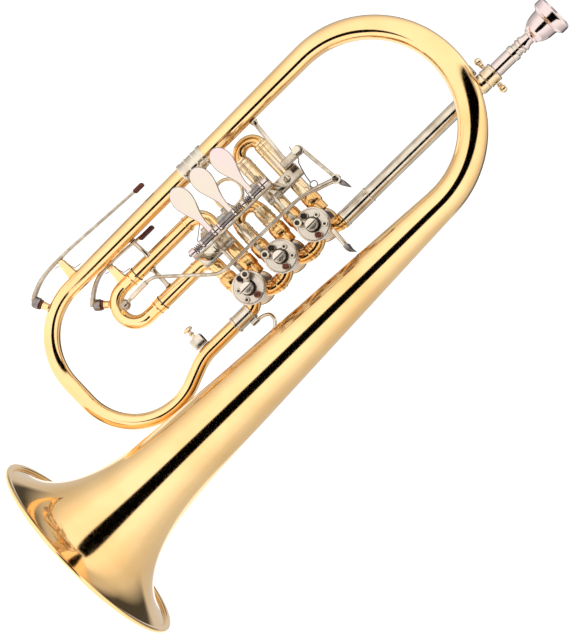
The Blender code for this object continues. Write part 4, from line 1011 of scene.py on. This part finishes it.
class HORN_OT_levers(bpy.types.Operator):
    """Models the touch levers, their springs, the hinge rod and the lever frame"""

    bl_idname = "horn.levers"
    bl_label = "Touch levers"

    def execute(self, context):
        for number in (1, 2, 3):
            self.lever(number)
            self.spring(number)
        self.hinge()
        return {"FINISHED"}

    def lever(self, number):
        node = f"touch_lever_{number}"
        low, high = BARRELS[number - 1]
        stem = STEMS[number - 1]
        shapes = Shapes()
        shapes.plate("silver", touch_outline(stem), TOUCH_NEAR, TOUCH_FAR, 0.7)
        # A dark grey slab a little larger than the plate: a painted shade line round its edge.
        shapes.plate("grey_steel_and_edge_shade", touch_outline(stem, 0.3), TOUCH_NEAR + 0.7, TOUCH_FAR - 0.1, 0.2)
        profile = [(1.65, low)]
        for place in (low, high - 2.0):
            profile += [(2.65, place), (2.95, place + 0.25), (2.95, place + 1.75), (2.65, place + 2.0)]
        profile += [(1.65, high)]
        foot = (HINGE_X, HINGE_Y, 0)
        shapes.turned("grey_steel_and_edge_shade", profile, foot, "Z", 32, closed=True)
        for place in (low, high - 2.0):
            shapes.append(paint(low_bead(foot, place + 1.0, 2.8, 0.85, 0.25, 32), "silver"))
        shapes += self.crank(number, low, high)
        dress(node, f"{node}_work", shapes)

    def crank(self, number, low, high):
        """The arm behind the barrel, forked round the link's eye."""
        rise = valve_spot(number, PIN_RADIUS, PIN_ANGLE)[1]
        turn = mirror_of(number)
        fork_low, fork_high = sorted((rise + turn * 3.4, rise - turn * 6.6))
        swing = radians(CRANK_REST)

        def slab(near, far, bottom, top):
            half = 1.2
            corners = ((-half, near), (half, near), (half, far), (-half, far))
            outline = [
                (HINGE_X + u * cos(swing) - v * sin(swing), HINGE_Y + u * sin(swing) + v * cos(swing))
                for u, v in corners
            ]
            return paint(plate(outline, bottom, top, 0.35, "XY"), "nickel")

        prong, prong_start, prong_end = 1.5, CRANK - 6.2, CRANK + 1.8
        shapes = [
            slab(1.9, 12.0, max(fork_low, low), min(fork_high, high)),
            slab(9.0, CRANK - 5.2, fork_low, fork_high),
            slab(prong_start, prong_end, fork_low, fork_low + prong),
            slab(prong_start, prong_end, fork_high - prong, fork_high),
        ]
        tip_x, tip_y = HINGE_X - CRANK * sin(swing), HINGE_Y + CRANK * cos(swing)
        pin = [(tip_x, tip_y, fork_low), (tip_x, tip_y, fork_high)]
        return [*shapes, paint(tube(pin, 1.0, 20), "worn_shaded_nickel")]

    def spring(self, number):
        """A torsion spring between the frame bar and the back of the touch plate."""
        start, end = SPRING_SPANS[number - 1]
        back = HINGE_Y + SPRING_MEAN
        turns, per_turn = 3, 28
        path = [(HINGE_X + 5.0, back, start), (HINGE_X + 2.0, back, start)]
        for i in range(turns * per_turn + 1):
            angle = radians(90 + 360 * i / per_turn)
            x, y = HINGE_X + SPRING_MEAN * cos(angle), HINGE_Y + SPRING_MEAN * sin(angle)
            path.append((x, y, mix(start, end, i / (turns * per_turn))))
        reach = mix(end, STEMS[number - 1], 0.9)
        under = TOUCH_FAR + SPRING_WIRE + 0.3
        path += [(HINGE_X - 4.0, back - 0.4, end), (HINGE_X - 12.0, under, reach)]
        path.append((HINGE_X - 13.5, under, reach))
        wire = paint(tube(path, SPRING_WIRE, 12), "grey_steel_and_edge_shade")
        dress(f"lever_spring_{number}", f"lever_spring_{number}_wire", [wire])

    def hinge(self):
        low, high = span("hinge_rod", 2)
        rod = turned(band(0, 1.3, low, high), (HINGE_X, HINGE_Y, 0), "Z", 24)
        dress("hinge_rod", "hinge_rod_pin", [paint(rod, "steel")])
        bottom, top = KNUCKLES[0][0], KNUCKLES[-1][1]
        bar_left, bar_right = -84.8, -83.2
        shapes = Shapes()
        shapes.block("worn_shaded_nickel", (bar_left, HINGE_Y - 1.8, bottom), (bar_right, HINGE_Y + 1.6, top), 0.4)
        for low, high in KNUCKLES:
            profile = [
                (1.65, low), (2.7, low), (3.0, low + 0.35), (3.0, high - 0.35), (2.7, high), (1.65, high),
            ]
            shapes.turned("silver", profile, (HINGE_X, HINGE_Y, 0), "Z", 32, closed=True)
            arm_low = (HINGE_X + 2.2, HINGE_Y - 1.5, low + 0.15)
            arm_high = (bar_left + 0.5, HINGE_Y + 1.3, high - 0.15)
            shapes.block("nickel", arm_low, arm_high)
        feet = (((bottom + 0.2, bottom + 3.8), (189.0, 216.0)), ((top - 3.8, top - 0.2), (250.0, 281.5)))
        post_left, post_right, post_back = -86.6, -82.6, 11.9
        foot_left, foot_right, foot_near, foot_far = -90.5, -80.5, 10.8, 12.3
        for (low, high), (foot_low, foot_high) in feet:
            shapes.block("nickel", (post_left, HINGE_Y + 1.0, low), (post_right, post_back, high), 0.6)
            shapes.block("nickel", (foot_left, foot_near, foot_low), (foot_right, foot_far, foot_high), 0.5)
            screw = (-86.0, 10.1, high + 4.5)
            shapes.append(screw_head(screw, 2.6, 1.4, "nickel", 0.7))
        dress("lever_frame", "lever_frame_work", shapes)


# Pieces: slides
SLIDE_3_X = (-113.1, -86.6)
SLIDE_3_JOINT = span("slide_3_tubes", 2)[0]
SLIDE_3_CENTRE = (sum(SLIDE_3_X) / 2, 136.2)
LEG = 4.4


class HORN_OT_slides(bpy.types.Operator):
    """Models the three valve slides and the third slide's outer tubes"""

    bl_idname = "horn.slides"
    bl_label = "Slides"

    def execute(self, context):
        for number, sleeve, reach in ((1, 2.8, 46.0), (2, 4.6, 20.0)):
            self.side_slide(number, sleeve, reach)
        self.third_slide()
        self.third_tubes()
        return {"FINISHED"}

    def side_slide(self, number, sleeve, reach):
        """Inner legs, cuffs and a brass bow that opens towards the valve, with a ring on the second."""
        node = f"slide_{number}"
        z = VALVES[number - 1].z
        mouth = span(f"valve_casing_{number}", 0)[0]
        seat = mouth - 0.3
        start = seat - 0.4 - sleeve
        depth, bend = 7.0, []
        for i in range(33):
            angle = radians(90 + 180 * i / 32)
            bend.append((start + depth * cos(angle), VALVE_Y, z + PORT * sin(angle)))
        shapes = Shapes()
        shapes.tube("brass", bend, 4.5, 36)
        for side in (1, -1):
            port = (0, VALVE_Y, z + side * PORT)
            leg = [(3.7, mouth + reach), (LEG, mouth + reach), (LEG, seat), (3.7, seat)]
            shapes.turned("nickel", leg, port, "X", closed=True)
            cuff = [
                (3.7, seat + 0.1), (PIPE - 0.2, seat + 0.1), (PIPE, seat - 0.2), (PIPE, start + 1.2),
                (PIPE - 0.3, start + 0.8), (4.75, start + 0.3), (4.75, start - 0.8), (3.7, start - 0.8),
            ]
            shapes.turned("warm_nickel", cuff, port, "X", closed=True)
        if number == 2:
            pull_z, radius, wire = 233.5, 9.8, 1.3
            centre = (-108.2, VALVE_Y, pull_z)
            outline = [(radius + u, v) for u, v in arc((0, 0), wire, 0, 345, 23)]
            shapes.turned("warm_nickel", outline, centre, "Y", 72, closed=True)
            foot = [(x, VALVE_Y, pull_z) for x in (-97.0, -98.6, -99.6)]
            shapes.tube("warm_nickel", foot, [2.6, 2.2, 1.4], 28)
        dress(node, f"{node}_bow", shapes)

    def third_slide(self):
        """The long U of the third slide, with its drain, key saddle and rod stud."""
        left, right = SLIDE_3_X
        seat = SLIDE_3_JOINT - 0.3
        half = (right - left) / 2
        bend = [(x, VALVE_Y, z) for x, z in arc(SLIDE_3_CENTRE, half, 180, 360, 40)]
        path = [(left, VALVE_Y, seat - 1.0), *bend, (right, VALVE_Y, seat - 1.0)]
        shapes = Shapes()
        shapes.tube("gold", path, 5.0, 36)
        for x in (left, right):
            foot = (x, VALVE_Y, 0)
            leg = [(3.7, seat), (LEG, seat), (LEG, seat + 36.0), (3.7, seat + 36.0)]
            shapes.turned("nickel", leg, foot, closed=True)
            cuff = [
                (3.7, seat), (PIPE - 0.2, seat), (PIPE + 0.15, seat - 0.4), (PIPE + 0.15, seat - 1.6),
                (PIPE - 0.1, seat - 2.0), (PIPE - 0.1, seat - 7.2), (5.0, seat - 7.8), (3.7, seat - 7.8),
            ]
            shapes.turned("gold", cuff, foot, closed=True)
        shapes += key_seat(SLIDE_3_CENTRE, (17.0, 22.0), KEY_ANGLES[1], VALVE_Y)
        shapes += key_saddle(KEY_PIVOTS[1], left, 5.1)
        stud = [(-100.0, 15.5, 126.0), (-100.6, 13.2, 127.7), (-101.0, 11.6, 128.9)]
        shapes.tube("gold", stud, [2.2, 1.7, 1.6])
        dress("slide_3", "slide_3_bow", shapes)

    def third_tubes(self):
        """Gold elbows and outer tubes, dark mouth rings, the brace and the stay to the long leg."""
        left, right = SLIDE_3_X
        start = span("slide_3_tubes", 0)[1]
        shapes = Shapes()
        for x, side, bend in ((left, 1, 10.0), (right, -1, 9.0)):
            z = VALVES[2].z + side * PORT
            elbow = arc((x + bend, z - bend), bend, 90, 180, 18)
            path = [(start, VALVE_Y, z), *((px, VALVE_Y, pz) for px, pz in elbow)]
            path.append((x, VALVE_Y, z - bend - 4.0))
            shapes.tube("gold", path, PIPE, 40)
            top, low = z - bend - 1.6, SLIDE_3_JOINT
            outer = [
                (4.6, top), (PIPE + 0.35, top), (PIPE + 0.5, top - 0.4), (PIPE + 0.5, top - 1.6),
                (PIPE + 0.05, top - 2.0), (PIPE + 0.05, low + 4.4), (PIPE + 0.35, low + 4.1),
                (PIPE + 0.35, low + 0.4), (PIPE + 0.1, low), (4.6, low),
            ]
            shapes.turned("gold", outer, (x, VALVE_Y, 0), closed=True)
            mouth = [
                (4.7, low + 4.6), (PIPE + 0.42, low + 4.6), (PIPE + 0.42, low + 3.9), (4.7, low + 3.9),
            ]
            shapes.turned("black_steel_and_painted_shade", mouth, (x, VALVE_Y, 0), closed=True)
        brace_z = 160.5
        ends = [(x, VALVE_Y, brace_z) for x in (left + PIPE, left + PIPE + 2, right - PIPE - 2, right - PIPE)]
        shapes.tube("nickel", ends, [2.6, 1.6, 1.6, 2.6], 24)
        leg_x, leg_y, leg_z = leg_point(165.1)
        first, last = Vector((leg_x + 6.9, leg_y + 0.6, leg_z)), Vector((left - 3.2, VALVE_Y - 3.4, leg_z))
        course = [first, first.lerp(last, 0.2), first.lerp(last, 0.8), last]
        shapes.tube("nickel", course, [2.4, 1.5, 1.5, 2.4], 24)
        dress("slide_3_tubes", "slide_3_outer_tubes", shapes)


# Pieces: trigger
TRIGGER_PIVOT = (-91.2, 291.7)
TRIGGER_END = (-59.2, 297.5)
TRIGGER_FAR = -8.6
ROD_Y = -13.8


class HORN_OT_trigger(bpy.types.Operator):
    """Models the third-slide trigger, its post, wire spring and push rod"""

    bl_idname = "horn.trigger"
    bl_label = "Trigger"

    def execute(self, context):
        self.arm()
        self.post()
        self.spring()
        self.rod()
        return {"FINISHED"}

    def arm(self):
        px, pz = TRIGGER_PIVOT
        ex, ez = TRIGGER_END
        near, far = -11.6, TRIGGER_FAR
        shapes = Shapes()
        shapes.turned("worn_shaded_nickel", band(2.0, 3.7, far, near, 0.4), (px, 0, pz), "Y", 40, closed=True)
        half = 1.3
        route = smooth([(px + 1, 0, pz + 2.4), (px + 8, 0, pz + 3.2), (ex - 3, 0, ez - 0.2)])
        line = [*route, (ex, 0, ez)]
        upper = [(p[0], p[2] + half) for p in line]
        lower = [(p[0], p[2] - half) for p in reversed(line)]
        shapes.plate("worn_shaded_nickel", upper + lower, near + 0.3, far - 0.3, 0.5)
        eye = [(0, far - 0.3), (2.6, far - 0.3), (2.6, near + 0.6), (2.3, near + 0.3), (0, near + 0.3)]
        shapes.turned("worn_shaded_nickel", eye, (ex, 0, ez), "Y", 32)
        pin = [(0, far - 1), (1.2, far - 1), (1.2, ROD_Y - 1.9), (0.9, ROD_Y - 2.2), (0, ROD_Y - 2.2)]
        shapes.turned("black_steel_and_painted_shade", pin, (ex, 0, ez), "Y", 24)
        tip = [(ex + 1.0, ez - 1.2), (ex + 5.0, ez - 0.8), (ex + 8.2, ez + 1.2), (ex + 10.4, ez + 2.8)]
        tip += [(ex + 7.0, ez + 2.7), (ex + 4.2, ez + 2.4), (ex + 1.0, ez + 1.4)]
        shapes.plate("grey_steel_and_edge_shade", tip, near - 0.5, -3.5, 0.4)
        dress("trigger", "trigger_arm", shapes)

    def post(self):
        px, pz = TRIGGER_PIVOT
        back = TRIGGER_FAR + 0.3
        low, high = 276.0, 281.0
        foot = span("trigger_post", 1)[1]
        shapes = Shapes()
        shapes.block("nickel", (px - 3, back + 0.6, low), (px + 3, foot, high), 0.6)
        shapes.block("worn_shaded_nickel", (px - 3, back, low), (px + 3, back + 2.6, pz + 2.6), 1.1)
        shoulder, tip = -16.2, -16.8
        pivot = [(0, back + 1), (1.6, back + 1), (1.6, shoulder), (2.9, shoulder)]
        pivot += [(2.9, tip + 0.1), (2.6, tip), (0, tip)]
        shapes.turned("nickel", pivot, (px, 0, pz), "Y", 32)
        dress("trigger_post", "trigger_post_work", shapes)

    def spring(self):
        """A coil on the pivot, and a long leg that ends in an eye at the slide tube."""
        px, pz = TRIGGER_PIVOT
        front, back, mean = -15.2, -12.6, 2.5
        path = [(px - 5.0, front, pz - mean + 0.5), (px - 2.0, front, pz - mean)]
        coil = arc(TRIGGER_PIVOT, mean, 270, 990, 56)
        path += [(x, mix(front, back, i / 56), z) for i, (x, z) in enumerate(coil)]
        leg = [(px + 4.6, back, pz - 3.2), (-84.5, -9.0, 286.0), (-78.0, 4.0, 282.0), (-74.5, 11.0, 280.4)]
        path += smooth([path[-1], *leg])[1:]
        eye = arc((-71.6, 280.6), 2.4, 200, 560, 28)
        path += [(x, mix(14.1, 16.1, i / 28), z) for i, (x, z) in enumerate(eye)]
        wire = paint(tube(path, 0.4, 12), "grey_steel_and_edge_shade")
        dress("trigger_spring", "trigger_spring_wire", [wire])

    def rod(self):
        """The long bent rod from the trigger to the ball on the third slide's bow."""
        ex, ez = TRIGGER_END
        shapes = Shapes()
        shapes.turned("nickel", band(2.2, 3.4, -1.3, 1.3), (ex, ROD_Y, ez), "Y", 36, closed=True)
        upper = [(ex - 0.5, ROD_Y, ez - 2.4), (-61.5, ROD_Y, 290.0), (-64.0, ROD_Y, 282.2)]
        shapes.tube("worn_shaded_nickel", smooth(upper), 1.9, 24)
        course = [
            (-63.8, ROD_Y, 283.0), (-66.5, ROD_Y, 273.0), (-67.4, ROD_Y, 262.0), (-67.7, ROD_Y, 234.0),
            (-67.8, ROD_Y, 206.0), (-68.6, -13.0, 199.5), (-71.4, -11.5, 193.5), (-84.2, -7.3, 179.0),
            (-97.0, -3.0, 164.5), (-100.2, -1.0, 160.0), (-101.6, 1.0, 153.0), (-101.9, 5.6, 140.0),
            (-102.0, 8.0, 133.0),
        ]
        shapes.tube("worn_shaded_nickel", smooth(course), 1.25, 24)
        lower = [(-101.5, 0.6, 154.4), (-101.7, 3.0, 147.3), (-101.9, 5.9, 139.0)]
        shapes.tube("nickel", smooth(lower), 1.75, 24)
        radius = 4.0
        ball = [(max(radius * cos(radians(a)), 0), radius * sin(radians(a))) for a in range(-90, 91, 9)]
        shapes.turned("worn_shaded_nickel", ball, (-102.0, 8.0, 131.6), "Z", 36)
        dress("trigger_rod", "trigger_push_rod", shapes)


# Pieces: water keys
KEY_LINES = (
    (
        (-152.4, 197.0), (-153.6, 175.0), (-154.7, 155.0), (-156.0, 132.0), (-156.2, 119.0),
        (-155.8, 108.0), (-154.2, 99.0), (-150.6, 90.5), (-147.8, 86.6),
    ),
    (
        (-128.4, 180.8), (-129.6, 168.0), (-130.7, 152.0), (-131.0, 140.0), (-130.3, 131.0),
        (-126.8, 122.8), (-121.4, 115.6), (-118.0, 112.6),
    ),
)
KEY_GRIPS = ((-152.6, 188.5, 197.0), (-128.6, 168.0, 180.8))
KEY_CENTRES = (REAR_BOW, SLIDE_3_CENTRE)
KEY_CUPS = (58.2, 24.0)
KEY_WALLS = (LEG_LOW[0] - 6.4, SLIDE_3_X[0] - PIPE)
KEY_SPRING_ENDS = (-154.2, -128.7)


class HORN_OT_water_keys(bpy.types.Operator):
    """Models the two water keys with their cups, corks, grips and springs"""

    bl_idname = "horn.water_keys"
    bl_label = "Water keys"

    def execute(self, context):
        for number in (1, 2):
            self.key(number)
            self.spring(number)
        return {"FINISHED"}

    def key(self, number):
        """A curved lever, its pivot lug, the cup with its pad and a cork grip."""
        node = f"water_key_{number}"
        x, y, z = KEY_PIVOTS[number - 1]
        line = KEY_LINES[number - 1]
        shapes = Shapes()
        shapes.plate("worn_shaded_nickel", self.lever(line), y - 2.5, y + 2.5, 0.7)
        lever_x = min(line, key=lambda point: abs(point[1] - z))[0]
        lug = [(lever_x, z - 2.6), (x, z - 1.9), *arc((x, z), 1.9, -90, 90, 12)]
        lug += [(x, z + 1.9), (lever_x, z + 2.6)]
        shapes.plate("worn_shaded_nickel", lug, y - 1.0, y + 1.0, 0.2)
        centre, angle, start = KEY_CENTRES[number - 1], KEY_ANGLES[number - 1], KEY_CUPS[number - 1]
        cup = ((0, 2.6), (0.15, 4.0), (0.5, 4.1), (3.6, 4.1), (4.6, 3.7), (5.3, 2.6))
        cup = [(start + along, radius) for along, radius in cup]
        shapes.append(paint(radial(centre, angle, y, cup, 40), "grey_steel_and_edge_shade"))
        grip_x, low, high = KEY_GRIPS[number - 1]
        shapes.block("cork", (grip_x - 1.5, y - 3.0, low), (grip_x + 1.5, y + 3.0, high), 1.1)
        dress(node, f"{node}_lever", shapes)
        pad = ((0, 3.2), (0.3, 3.5), (0.9, 3.5), (1.2, 3.4))
        pad = [(start - 1.5 + along, radius) for along, radius in pad]
        dress(f"{node}_pad", f"{node}_cork", [paint(radial(centre, angle, y, pad, 40), "cork")])

    def lever(self, line):
        """The outline of a key's lever, thin at the grip and thicker towards the cup."""
        course = smooth([(x, 0, z) for x, z in line], 8)
        left, right = [], []
        for i, point in enumerate(course):
            ahead, behind = course[min(i + 1, len(course) - 1)], course[max(i - 1, 0)]
            run = (ahead - behind).normalized()
            side = Vector((-run.z, 0, run.x)) * mix(0.7, 1.5, i / (len(course) - 1))
            left.append((point.x + side.x, point.z + side.z))
            right.append((point.x - side.x, point.z - side.z))
        return left + right[::-1]

    def spring(self, number):
        """A coil on the pivot with one leg on the tube and one on the lever."""
        x, y, z = KEY_PIVOTS[number - 1]
        wall, end = KEY_WALLS[number - 1], KEY_SPRING_ENDS[number - 1]
        near, far, turns, mean = y + 1.45, y + 3.15, 1.6, 1.65
        path = [(wall - 1.2, near, z + 9.0), (wall - 2.0, near, z + 4.0)]
        count = round(turns * 28)
        coil = arc((x, z), mean, 60, 60 + 360 * turns, count)
        path += [(cx, mix(near, far, i / count), cz) for i, (cx, cz) in enumerate(coil)]
        path += [(end, far, z - 5.0), (end, far, z - 6.5)]
        wire = paint(tube(path, 0.3, 12), "steel")
        dress(f"water_key_spring_{number}", f"water_key_spring_{number}_wire", [wire])


# Pieces: lyre holder, hook and stays
class HORN_OT_fittings(bpy.types.Operator):
    """Models the lyre holder, finger hook and stays"""

    bl_idname = "horn.fittings"
    bl_label = "Fittings"

    def execute(self, context):
        self.lyre()
        self.hook()
        self.stays()
        return {"FINISHED"}

    def lyre(self):
        x, y, z = spot("lyre_socket")
        half, bore, reach = 4.0, 2.7, 4.5
        socket = block((x - half, y - half, z - reach), (x + half, y + half, z + reach), 0.5)
        cut_slot(socket, (x - bore, y - bore, z - reach - 2), (x + bore, y + bore, z + reach + 2))
        dress("lyre_socket", "lyre_socket_box", [paint(socket, "nickel")])
        seat = (span("lyre_screw", 0)[1], y, z)
        profile = [
            (0, 0), (1.25, 0), (1.25, 3.4), (1.9, 3.6), (2.0, 3.8), (2.0, 4.6), (1.6, 5.0), (1.1, 5.3),
            (1.1, 6.2), (1.9, 6.7), (3.3, 6.9), (3.5, 7.2), (3.5, 8.5), (3.2, 8.9), (2.4, 9.4), (0, 9.4),
        ]
        screw = turned(profile, seat, "X", 36, flip=-1)
        dress("lyre_screw", "lyre_thumb_screw", [paint(screw, "warm_nickel")])

    def hook(self):
        z = spot("finger_hook").z
        route = [(-39.2, 6.0, z), (-34.0, 6.0, z), (-28.0, 6.0, z - 0.2), (-22.5, 6.0, z - 0.6)]
        shapes = Shapes()
        shapes.tube("nickel", smooth(route), 1.8, 28)
        rest = [(-25.5, z - 1.7), (-22.0, z - 1.6), (-19.5, z - 0.7), (-17.5, z + 1.7), (-21.0, z + 1.1)]
        rest += [(-25.5, z + 1.7)]
        shapes.plate("grey_steel_and_edge_shade", rest, -1.0, 10.5, 0.6)
        dress("finger_hook", "finger_hook_prong", shapes)

    def stays(self):
        """The bell brace with its tab on the outlet ferrule, and the stay at the long leg."""
        route = [
            (-32.7, 18.0, 187.0), (-32.4, 17.4, 193.0), (-29.6, 15.4, 198.2), (-24.6, 13.0, 198.8),
            (-20.4, 11.0, 195.6), (-18.3, 9.8, 190.5),
        ]
        shapes = Shapes()
        shapes.tube("nickel", smooth(route), 1.3, 24)
        tab_low, tab_high = (-34.4, 16.2, 184.4), (-31.4, 19.8, 190.2)
        shapes.block("nickel", tab_low, tab_high, 0.5)
        dress("bell_brace", "bell_brace_wire", shapes)
        leg_x, leg_y, leg_z = leg_point(281.0)
        first = Vector((leg_x + 7.6, leg_y, leg_z + 0.6))
        last = Vector((TRIGGER_PIVOT[0] - 3.4, 3.0, 278.8))
        course = [first, first.lerp(last, 0.05), first.lerp(last, 0.1), first.lerp(last, 0.9), last]
        stay = paint(tube(course, [3.0, 2.2, 1.6, 1.6, 2.2], 24), "nickel")
        dress("upper_brace", "upper_brace_rod", [stay])


# Stage
TARGET = Vector((0.0222, 0, 0.2058))
VIEW_AZIMUTH = 8.0
VIEW_ELEVATION = 9.2
VIEW_DISTANCE = 2.75
VIEW_ROLL = 45.65
FRAME_HEIGHT = 0.426
TENT_RADIUS = 0.62
TENT_BACK = 0.25
TENT_GLOW = 1.42
DARK_BACK = 0.05
DARK_BACK_BEYOND = 100
DARK_BACK_FROM = (27, 33)
PLAIN_TOP_FROM = (62, 72)
# Tone of the tent by degrees from the front, towards the bell's side
TENT_TONES = (
    (-180, 0.50), (-138, 0.50), (-94, 0.48), (-66, 0.60), (-46, 0.80), (-28, 1.0), (0, 1.0),
    (28, 1.0), (43, 0.86), (64, 0.64), (90, 0.54), (138, 0.50), (180, 0.50),
)
TENT_SLIT = ((-3.0, 1.0), (-2.4, 0.0), (16.4, 0.0), (17.0, 1.0))
FLOOR_SIZE = 60
FLOOR_TONE = (0.82, 0.82, 0.82, 1)
FLOOR_GLOW = 0.62
SKY_GREY = (0.5, 0.5, 0.5, 1)
WHITE = (1, 1, 1, 1)
LAMPS = ((-1.3, 26.0), (1.3, 22.0))
LAMP_Y, LAMP_Z = -1.5, 1.9
LAMP_SIZE = 1.4


class HORN_OT_stage(bpy.types.Operator):
    """Sets the white floor, the light tent, the lamps, the world and the camera"""

    bl_idname = "horn.stage"
    bl_label = "Stage"

    def execute(self, context):
        self.floor()
        self.tent()
        self.lamps()
        self.world(context.scene)
        self.camera(context.scene)
        context.scene.view_settings.view_transform = "Standard"
        return {"FINISHED"}

    def seen_directly(self, tree):
        """1 for camera, glossy and transmission rays."""
        rays = tree.nodes.new("ShaderNodeLightPath").outputs
        total = rays["Is Camera Ray"]
        for name in ("Is Glossy Ray", "Is Transmission Ray"):
            total = reckon(tree, "MAXIMUM", total, rays[name])
        return total

    def floor(self):
        bpy.ops.object.select_all(action="DESELECT")
        bpy.ops.mesh.primitive_plane_add(size=FLOOR_SIZE)
        floor = bpy.context.object
        floor.name = "floor"
        look = {"Base Color": FLOOR_TONE, "Roughness": 0.9, "Emission Color": WHITE}
        material, tree, shader = new_material("white_floor", look)
        lift = reckon(tree, "MULTIPLY", self.seen_directly(tree), FLOOR_GLOW)
        tree.links.new(lift, shader["Emission Strength"])
        floor.data.materials.append(material)

    def tent(self):
        """A glowing sphere that only reflections see: bright in front with a dark slit, dim behind."""
        bpy.ops.object.select_all(action="DESELECT")
        bpy.ops.mesh.primitive_uv_sphere_add(segments=96, ring_count=48, radius=TENT_RADIUS)
        tent = bpy.context.object
        tent.name = "light_tent"
        tent.location.y = TENT_BACK
        material = bpy.data.materials.new("tent_cloth")
        material.use_nodes = True
        tree = material.node_tree
        tree.nodes.clear()
        place = add_node(tree, "ShaderNodeSeparateXYZ", {"Vector": object_place(tree)}).outputs
        turn = reckon(tree, "ARCTAN2", place["X"], reckon(tree, "MULTIPLY", place["Y"], -1.0))
        around = ramp(tree, turn, -pi, pi)
        low = self.tent_tones(tree, around, slit=True)
        high = self.tent_tones(tree, around, slit=True, dark_back=True)
        top = self.tent_tones(tree, around)
        sides = self.tent_fade(tree, place["Z"], DARK_BACK_FROM, low, high)
        cloth = self.tent_fade(tree, place["Z"], PLAIN_TOP_FROM, sides, top)
        glow = add_node(tree, "ShaderNodeEmission", {"Strength": TENT_GLOW, "Color": cloth})
        add_node(tree, "ShaderNodeOutputMaterial", {"Surface": glow.outputs["Emission"]})
        tent.data.materials.append(material)
        tent.visible_camera = False
        tent.visible_diffuse = False
        tent.visible_shadow = False
        tent.visible_transmission = False

    def tent_fade(self, tree, height, degrees, lower, upper):
        """Goes from one ring of tones to another between two elevations."""
        start, end = (TENT_RADIUS * sin(radians(each)) for each in degrees)
        return blend(tree, ramp(tree, height, start, end), lower, upper)

    def tent_tones(self, tree, share, slit=False, dark_back=False):
        """A ring of tones, with or without the slit in front and the dark back."""
        stops = list(TENT_TONES)
        if dark_back:
            stops = [
                (degrees, DARK_BACK if abs(degrees) > DARK_BACK_BEYOND else tone)
                for degrees, tone in stops
            ]
        if slit:
            stops = sorted([stop for stop in stops if stop[0] != 0] + list(TENT_SLIT))
        node = add_node(tree, "ShaderNodeValToRGB", {"Fac": share})
        points = node.color_ramp.elements
        while len(points) < len(stops):
            points.new(0.5)
        for point, (degrees, tone) in zip(points, stops):
            point.position = (degrees + 180) / 360
            point.color = (tone, tone, tone, 1)
        return node.outputs["Color"]

    def lamps(self):
        """Two broad lamps above the camera, for the shadow and the matt pieces."""
        for x, power in LAMPS:
            place = Vector((x, LAMP_Y, LAMP_Z))
            bpy.ops.object.light_add(type="AREA", location=place)
            lamp = bpy.context.object
            lamp.rotation_euler = (TARGET - place).to_track_quat("-Z", "Y").to_euler()
            lamp.data.shape = "DISK"
            lamp.data.size = LAMP_SIZE
            lamp.data.energy = power
            lamp.visible_glossy = False

    def world(self, scene):
        world = bpy.data.worlds.new("studio")
        scene.world = world
        world.use_nodes = True
        tree = world.node_tree
        tone = blend(tree, self.seen_directly(tree), SKY_GREY, WHITE)
        tree.links.new(tone, tree.nodes["Background"].inputs["Color"])

    def camera(self, scene):
        turn, rise, roll = radians(VIEW_AZIMUTH), radians(VIEW_ELEVATION), radians(VIEW_ROLL)
        back = Vector((sin(turn) * cos(rise), -cos(turn) * cos(rise), sin(rise)))
        level = Vector((cos(turn), sin(turn), 0))
        up = back.cross(level)
        right = cos(roll) * level + sin(roll) * up
        above = cos(roll) * up - sin(roll) * level
        facing = Matrix((right, above, back)).transposed()
        bpy.ops.object.camera_add(
            location=TARGET + VIEW_DISTANCE * back, rotation=facing.to_euler()
        )
        camera = bpy.context.object
        camera.data.sensor_fit = "VERTICAL"
        camera.data.sensor_height = 36.0
        camera.data.lens = camera.data.sensor_height * VIEW_DISTANCE / FRAME_HEIGHT
        camera.data.clip_end = 100
        scene.camera = camera


class HORN_PT_panel(bpy.types.Panel):
    """Lists the horn's sizes, finishes and pieces"""

    bl_idname = "HORN_PT_panel"
    bl_label = "Flugelhorn"
    bl_space_type = "VIEW_3D"
    bl_region_type = "UI"
    bl_category = "Flugelhorn"

    def draw(self, context):
        for group in (context.scene.horn_sizes, context.scene.horn_finishes):
            for name in group.bl_rna.properties.keys():
                if name not in ("rna_type", "name"):
                    self.layout.prop(group, name)
        for step in STEPS:
            self.layout.operator(step.bl_idname)


STEPS = (
    HORN_OT_bell,
    HORN_OT_bows,
    HORN_OT_mouthpipe,
    HORN_OT_valves,
    HORN_OT_levers,
    HORN_OT_slides,
    HORN_OT_trigger,
    HORN_OT_water_keys,
    HORN_OT_fittings,
    HORN_OT_stage,
)
CLASSES = (HornSizes, HornFinishes, *STEPS, HORN_PT_panel)


def register():
    for each in CLASSES:
        bpy.utils.register_class(each)
    bpy.types.Scene.horn_sizes = bpy.props.PointerProperty(type=HornSizes)
    bpy.types.Scene.horn_finishes = bpy.props.PointerProperty(type=HornFinishes)


def unregister():
    del bpy.types.Scene.horn_finishes
    del bpy.types.Scene.horn_sizes
    for each in reversed(CLASSES):
        bpy.utils.unregister_class(each)


def main():
    register()
    for step in STEPS:
        group, action = step.bl_idname.split(".")
        getattr(getattr(bpy.ops, group), action)()


if __name__ == "__main__":
    main()
